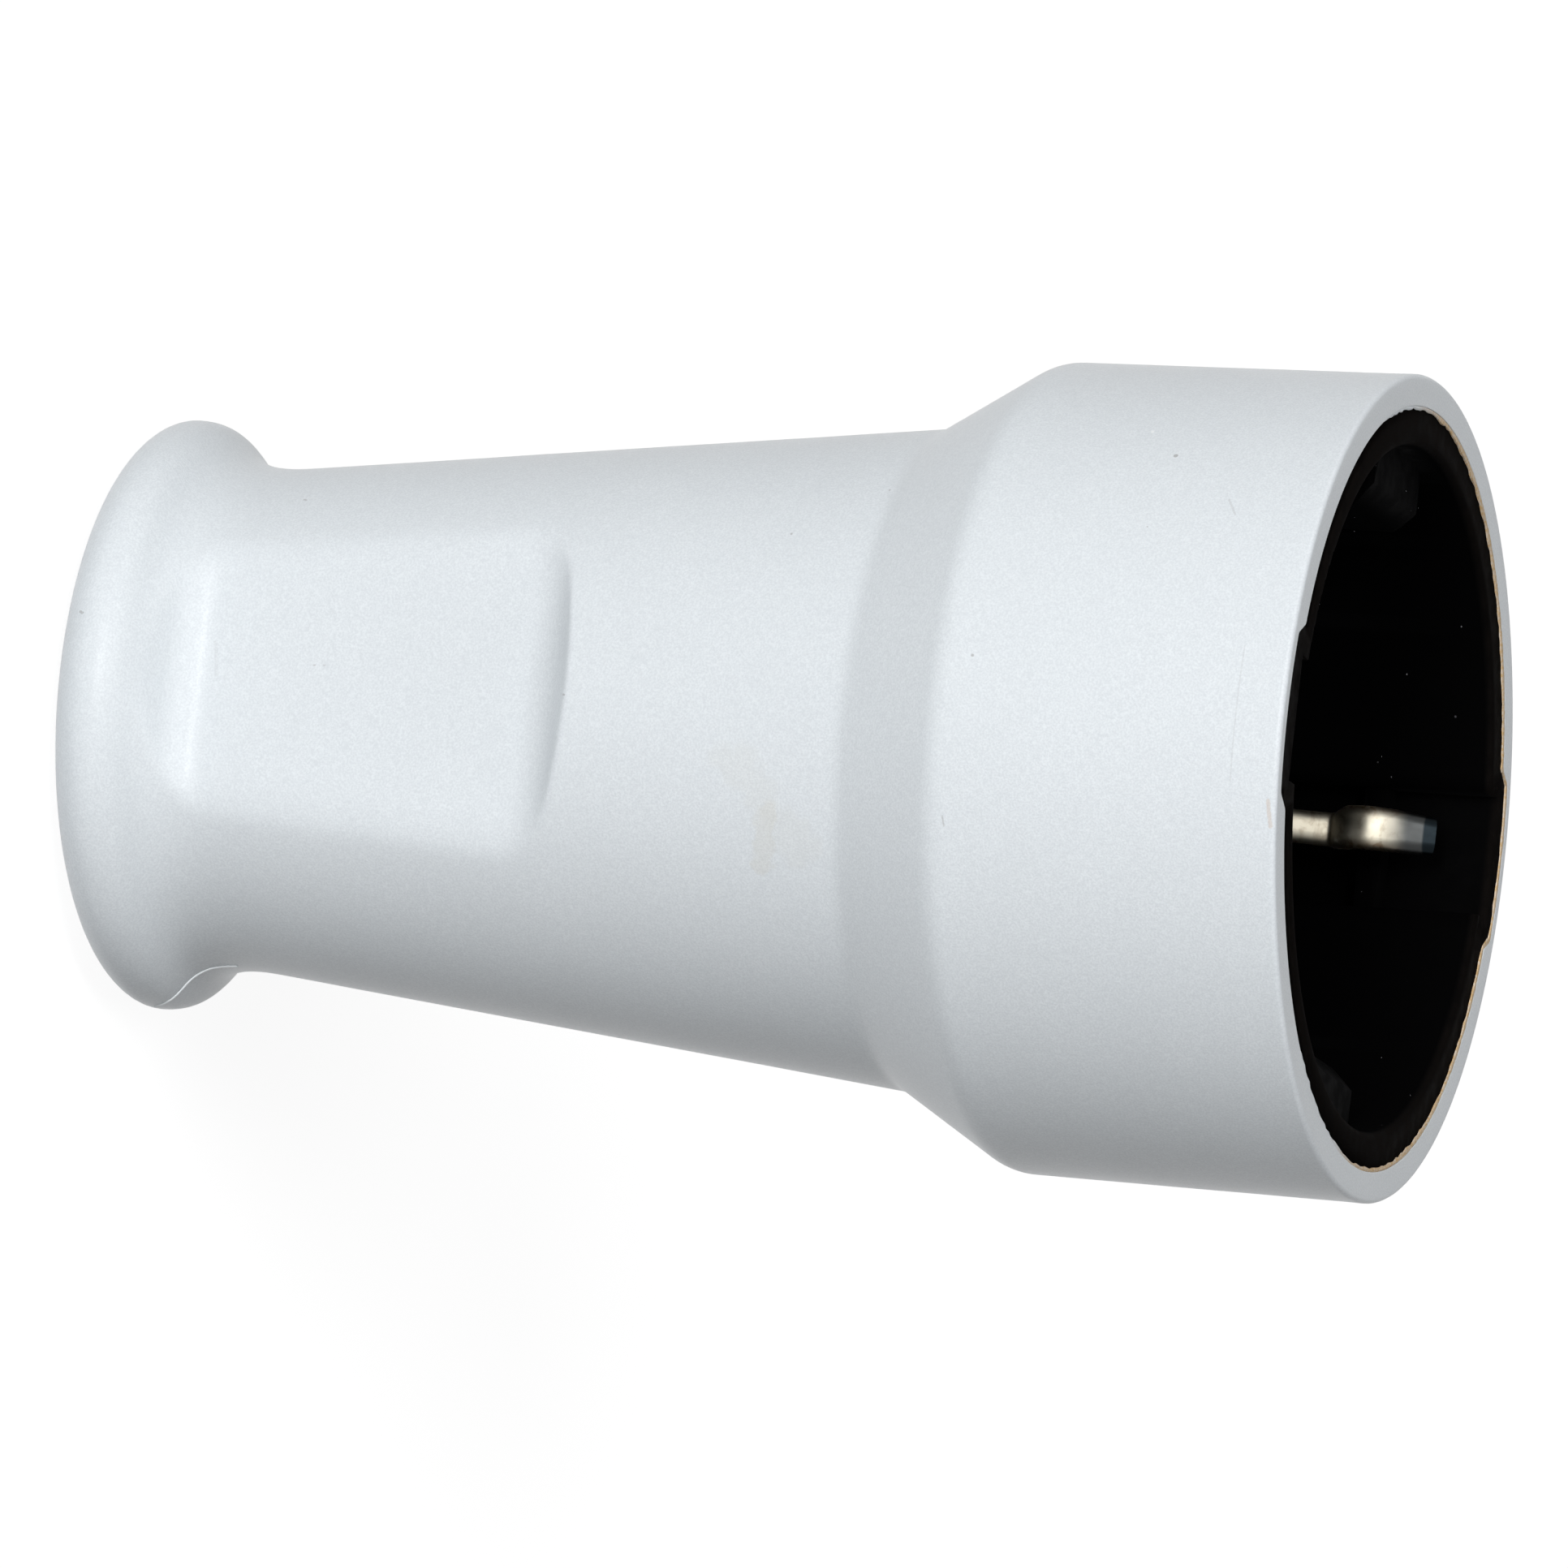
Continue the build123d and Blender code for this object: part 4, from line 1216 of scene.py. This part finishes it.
def build_metal(settings):
    """The earth bow, the line contacts with their rings, and the screws, nuts, washer and plate."""
    tarnish = settings.tarnish_colour
    dress("earth_strip", "earth_bow", plated_finish(settings), swept_arms)
    brass = metal_finish("contact_brass", settings.brass_colour, tarnish, TURNED_LINES, roughness=0.28)
    spring = metal_finish("spring_steel", settings.spring_colour, tarnish, TURNED_LINES, roughness=0.32)
    zinc = metal_finish("zinc_screw", settings.zinc_colour, tarnish, EVEN_LINES, roughness=0.36)
    for side in ("left", "right"):
        dress("sleeve_" + side, "line_contact_" + side, brass)
        dress("ring_" + side, "contact_ring_" + side, spring)
        add_screw("terminal_screw_" + side, "line_screw_" + side, zinc)
        add_screw("clamp_screw_" + side, "cord_screw_" + side, zinc)
        dress("clamp_nut_" + side, "cord_nut_" + side, zinc)
    dress("lockwasher", "centre_lockwasher", spring)
    add_screw("middle_screw", "centre_screw", zinc)
    dress("middle_nut", "centre_nut", zinc)
    add_screw("earth_terminal_screw", "earth_screw", zinc)
    dress("earth_plate", "earth_clamp_plate", zinc)


def aim_camera(settings):
    """Camera at the photograph's angle: the socket lies along the picture's width, mouth to the right."""
    tilt = Matrix.Rotation(settings.roll, 3, "Z")
    axis = tilt @ Vector((math.cos(settings.yaw), 0, math.sin(settings.yaw)))
    up = tilt @ Vector((0, 1, 0))
    side = math.cos(settings.spin) * up + math.sin(settings.spin) * axis.cross(up)
    turn = Matrix((side, axis.cross(side), axis))
    mouth = Vector((0, 0, MOUTH_LEVEL * MM))
    place = mouth - turn @ Vector((settings.mouth_right, settings.mouth_up, -settings.distance))
    lens = bpy.data.cameras.new("camera")
    lens.lens = settings.lens
    lens.sensor_width = SENSOR_WIDTH
    lens.clip_end = SIGHT_END
    camera = linked("camera", lens)
    camera.matrix_world = Matrix.Translation(place) @ turn.to_4x4()
    bpy.context.scene.camera = camera
    return turn


def hang_lamps(turn, settings):
    """Distant lamps that shine from set directions as the camera sees them."""
    for name, towards in LAMPS.items():
        lamp = bpy.data.lights.new(name + "_lamp", "SUN")
        lamp.energy = getattr(settings, name + "_strength")
        lamp.angle = math.radians(LAMP_WIDTH)
        holder = linked(lamp.name, lamp)
        holder.rotation_euler = (turn @ Vector(towards)).to_track_quat("Z", "Y").to_euler()


def seen_directly(sheet):
    """One for rays from the camera or by way of gloss or glass, and nought for the rest."""
    path = sheet.add("ShaderNodeLightPath").outputs
    glossy = sheet.math("MAXIMUM", path["Is Glossy Ray"], path["Is Transmission Ray"])
    return sheet.math("MAXIMUM", path["Is Camera Ray"], glossy)


def light_world(settings):
    """Faint even light, seen as white by the camera and in gloss."""
    world = bpy.data.worlds.new("even_light")
    world.use_nodes = True
    sheet = NodeSheet(world.node_tree)
    background = world.node_tree.nodes["Background"].inputs
    rest = sheet.times(seen_directly(sheet), 1.0 - settings.sky_strength)
    sheet.feed(background["Strength"], sheet.math("ADD", settings.sky_strength, rest))
    sheet.feed(background["Color"], (1, 1, 1))
    bpy.context.scene.world = world
    bpy.context.scene.view_settings.view_transform = "Standard"


def lay_floor(settings):
    """Pale round floor that keeps the socket's shadow."""
    mesh = bpy.data.meshes.new("floor")
    form = bmesh.new()
    bmesh.ops.create_circle(form, cap_ends=True, segments=96, radius=settings.floor_radius)
    form.to_mesh(mesh)
    form.free()
    material = bpy.data.materials.new("pale_floor")
    material.use_nodes = True
    sheet = NodeSheet(material.node_tree)
    nodes = material.node_tree.nodes
    nodes.remove(nodes["Principled BSDF"])
    glow = sheet.first("ShaderNodeEmission", {"Color": (1, 1, 1), "Strength": FLOOR_GLOW})
    grey = sheet.first("ShaderNodeBsdfDiffuse", {"Color": (FLOOR_GREY,) * 3})
    lit = sheet.first("ShaderNodeAddShader", {0: glow, 1: grey})
    bounce = sheet.first("ShaderNodeBsdfDiffuse", {"Color": (FLOOR_BOUNCE,) * 3})
    shown = sheet.first("ShaderNodeMixShader", {0: seen_directly(sheet), 1: bounce, 2: lit})
    sheet.feed(nodes["Material Output"].inputs["Surface"], shown)
    mesh.materials.append(material)
    linked("floor", mesh)


class SOCKET_OT_build_hood(bpy.types.Operator):
    """Make the pale hood as one dense moulded mesh, with its ragged edge and its flash"""

    bl_idname = "socket.build_hood"
    bl_label = "Hood"

    def execute(self, context):
        for build in (build_hood, build_rags, build_flash):
            build(context.scene.socket_hood)
        return {"FINISHED"}


class SOCKET_OT_build_insert(bpy.types.Operator):
    """Make the black insert with its dust, the carrier and the cord clamp"""

    bl_idname = "socket.build_insert"
    bl_label = "Insert and carrier"

    def execute(self, context):
        build_insert(context.scene.socket_insert)
        return {"FINISHED"}


class SOCKET_OT_build_metal(bpy.types.Operator):
    """Make the contacts, springs, screws and nuts"""

    bl_idname = "socket.build_metal"
    bl_label = "Contacts and screws"

    def execute(self, context):
        build_metal(context.scene.socket_metal)
        return {"FINISHED"}


class SOCKET_OT_build_stage(bpy.types.Operator):
    """Set the camera, the lamps, the even light and the floor"""

    bl_idname = "socket.build_stage"
    bl_label = "Stage"

    def execute(self, context):
        settings = context.scene.socket_stage
        hang_lamps(aim_camera(settings), settings)
        light_world(settings)
        lay_floor(settings)
        return {"FINISHED"}


class SOCKET_PT_pieces(bpy.types.Panel):
    """Buttons for the pieces of the socket"""

    bl_idname = "SOCKET_PT_pieces"
    bl_label = "Inline socket connector"
    bl_space_type = "VIEW_3D"
    bl_region_type = "UI"
    bl_category = "Socket"

    def draw(self, context):
        for operator in OPERATORS:
            self.layout.operator(operator.bl_idname)
        for name in SETTINGS:
            box = self.layout.box()
            settings = getattr(context.scene, name)
            for key in settings.bl_rna.properties.keys():
                if key not in ("rna_type", "name"):
                    box.prop(settings, key)


SETTINGS = {
    "socket_hood": HoodSettings,
    "socket_insert": InsertSettings,
    "socket_metal": MetalSettings,
    "socket_stage": StageSettings,
}
OPERATORS = (SOCKET_OT_build_hood, SOCKET_OT_build_insert, SOCKET_OT_build_metal, SOCKET_OT_build_stage)


def register():
    for name, group in SETTINGS.items():
        bpy.utils.register_class(group)
        setattr(bpy.types.Scene, name, bpy.props.PointerProperty(type=group))
    for shown in (*OPERATORS, SOCKET_PT_pieces):
        bpy.utils.register_class(shown)


def unregister():
    for shown in (SOCKET_PT_pieces, *reversed(OPERATORS)):
        bpy.utils.unregister_class(shown)
    for name, group in SETTINGS.items():
        delattr(bpy.types.Scene, name)
        bpy.utils.unregister_class(group)


def main():
    register()
    bpy.ops.socket.build_hood()
    bpy.ops.socket.build_insert()
    bpy.ops.socket.build_metal()
    bpy.ops.socket.build_stage()


if __name__ == "__main__":
    main()
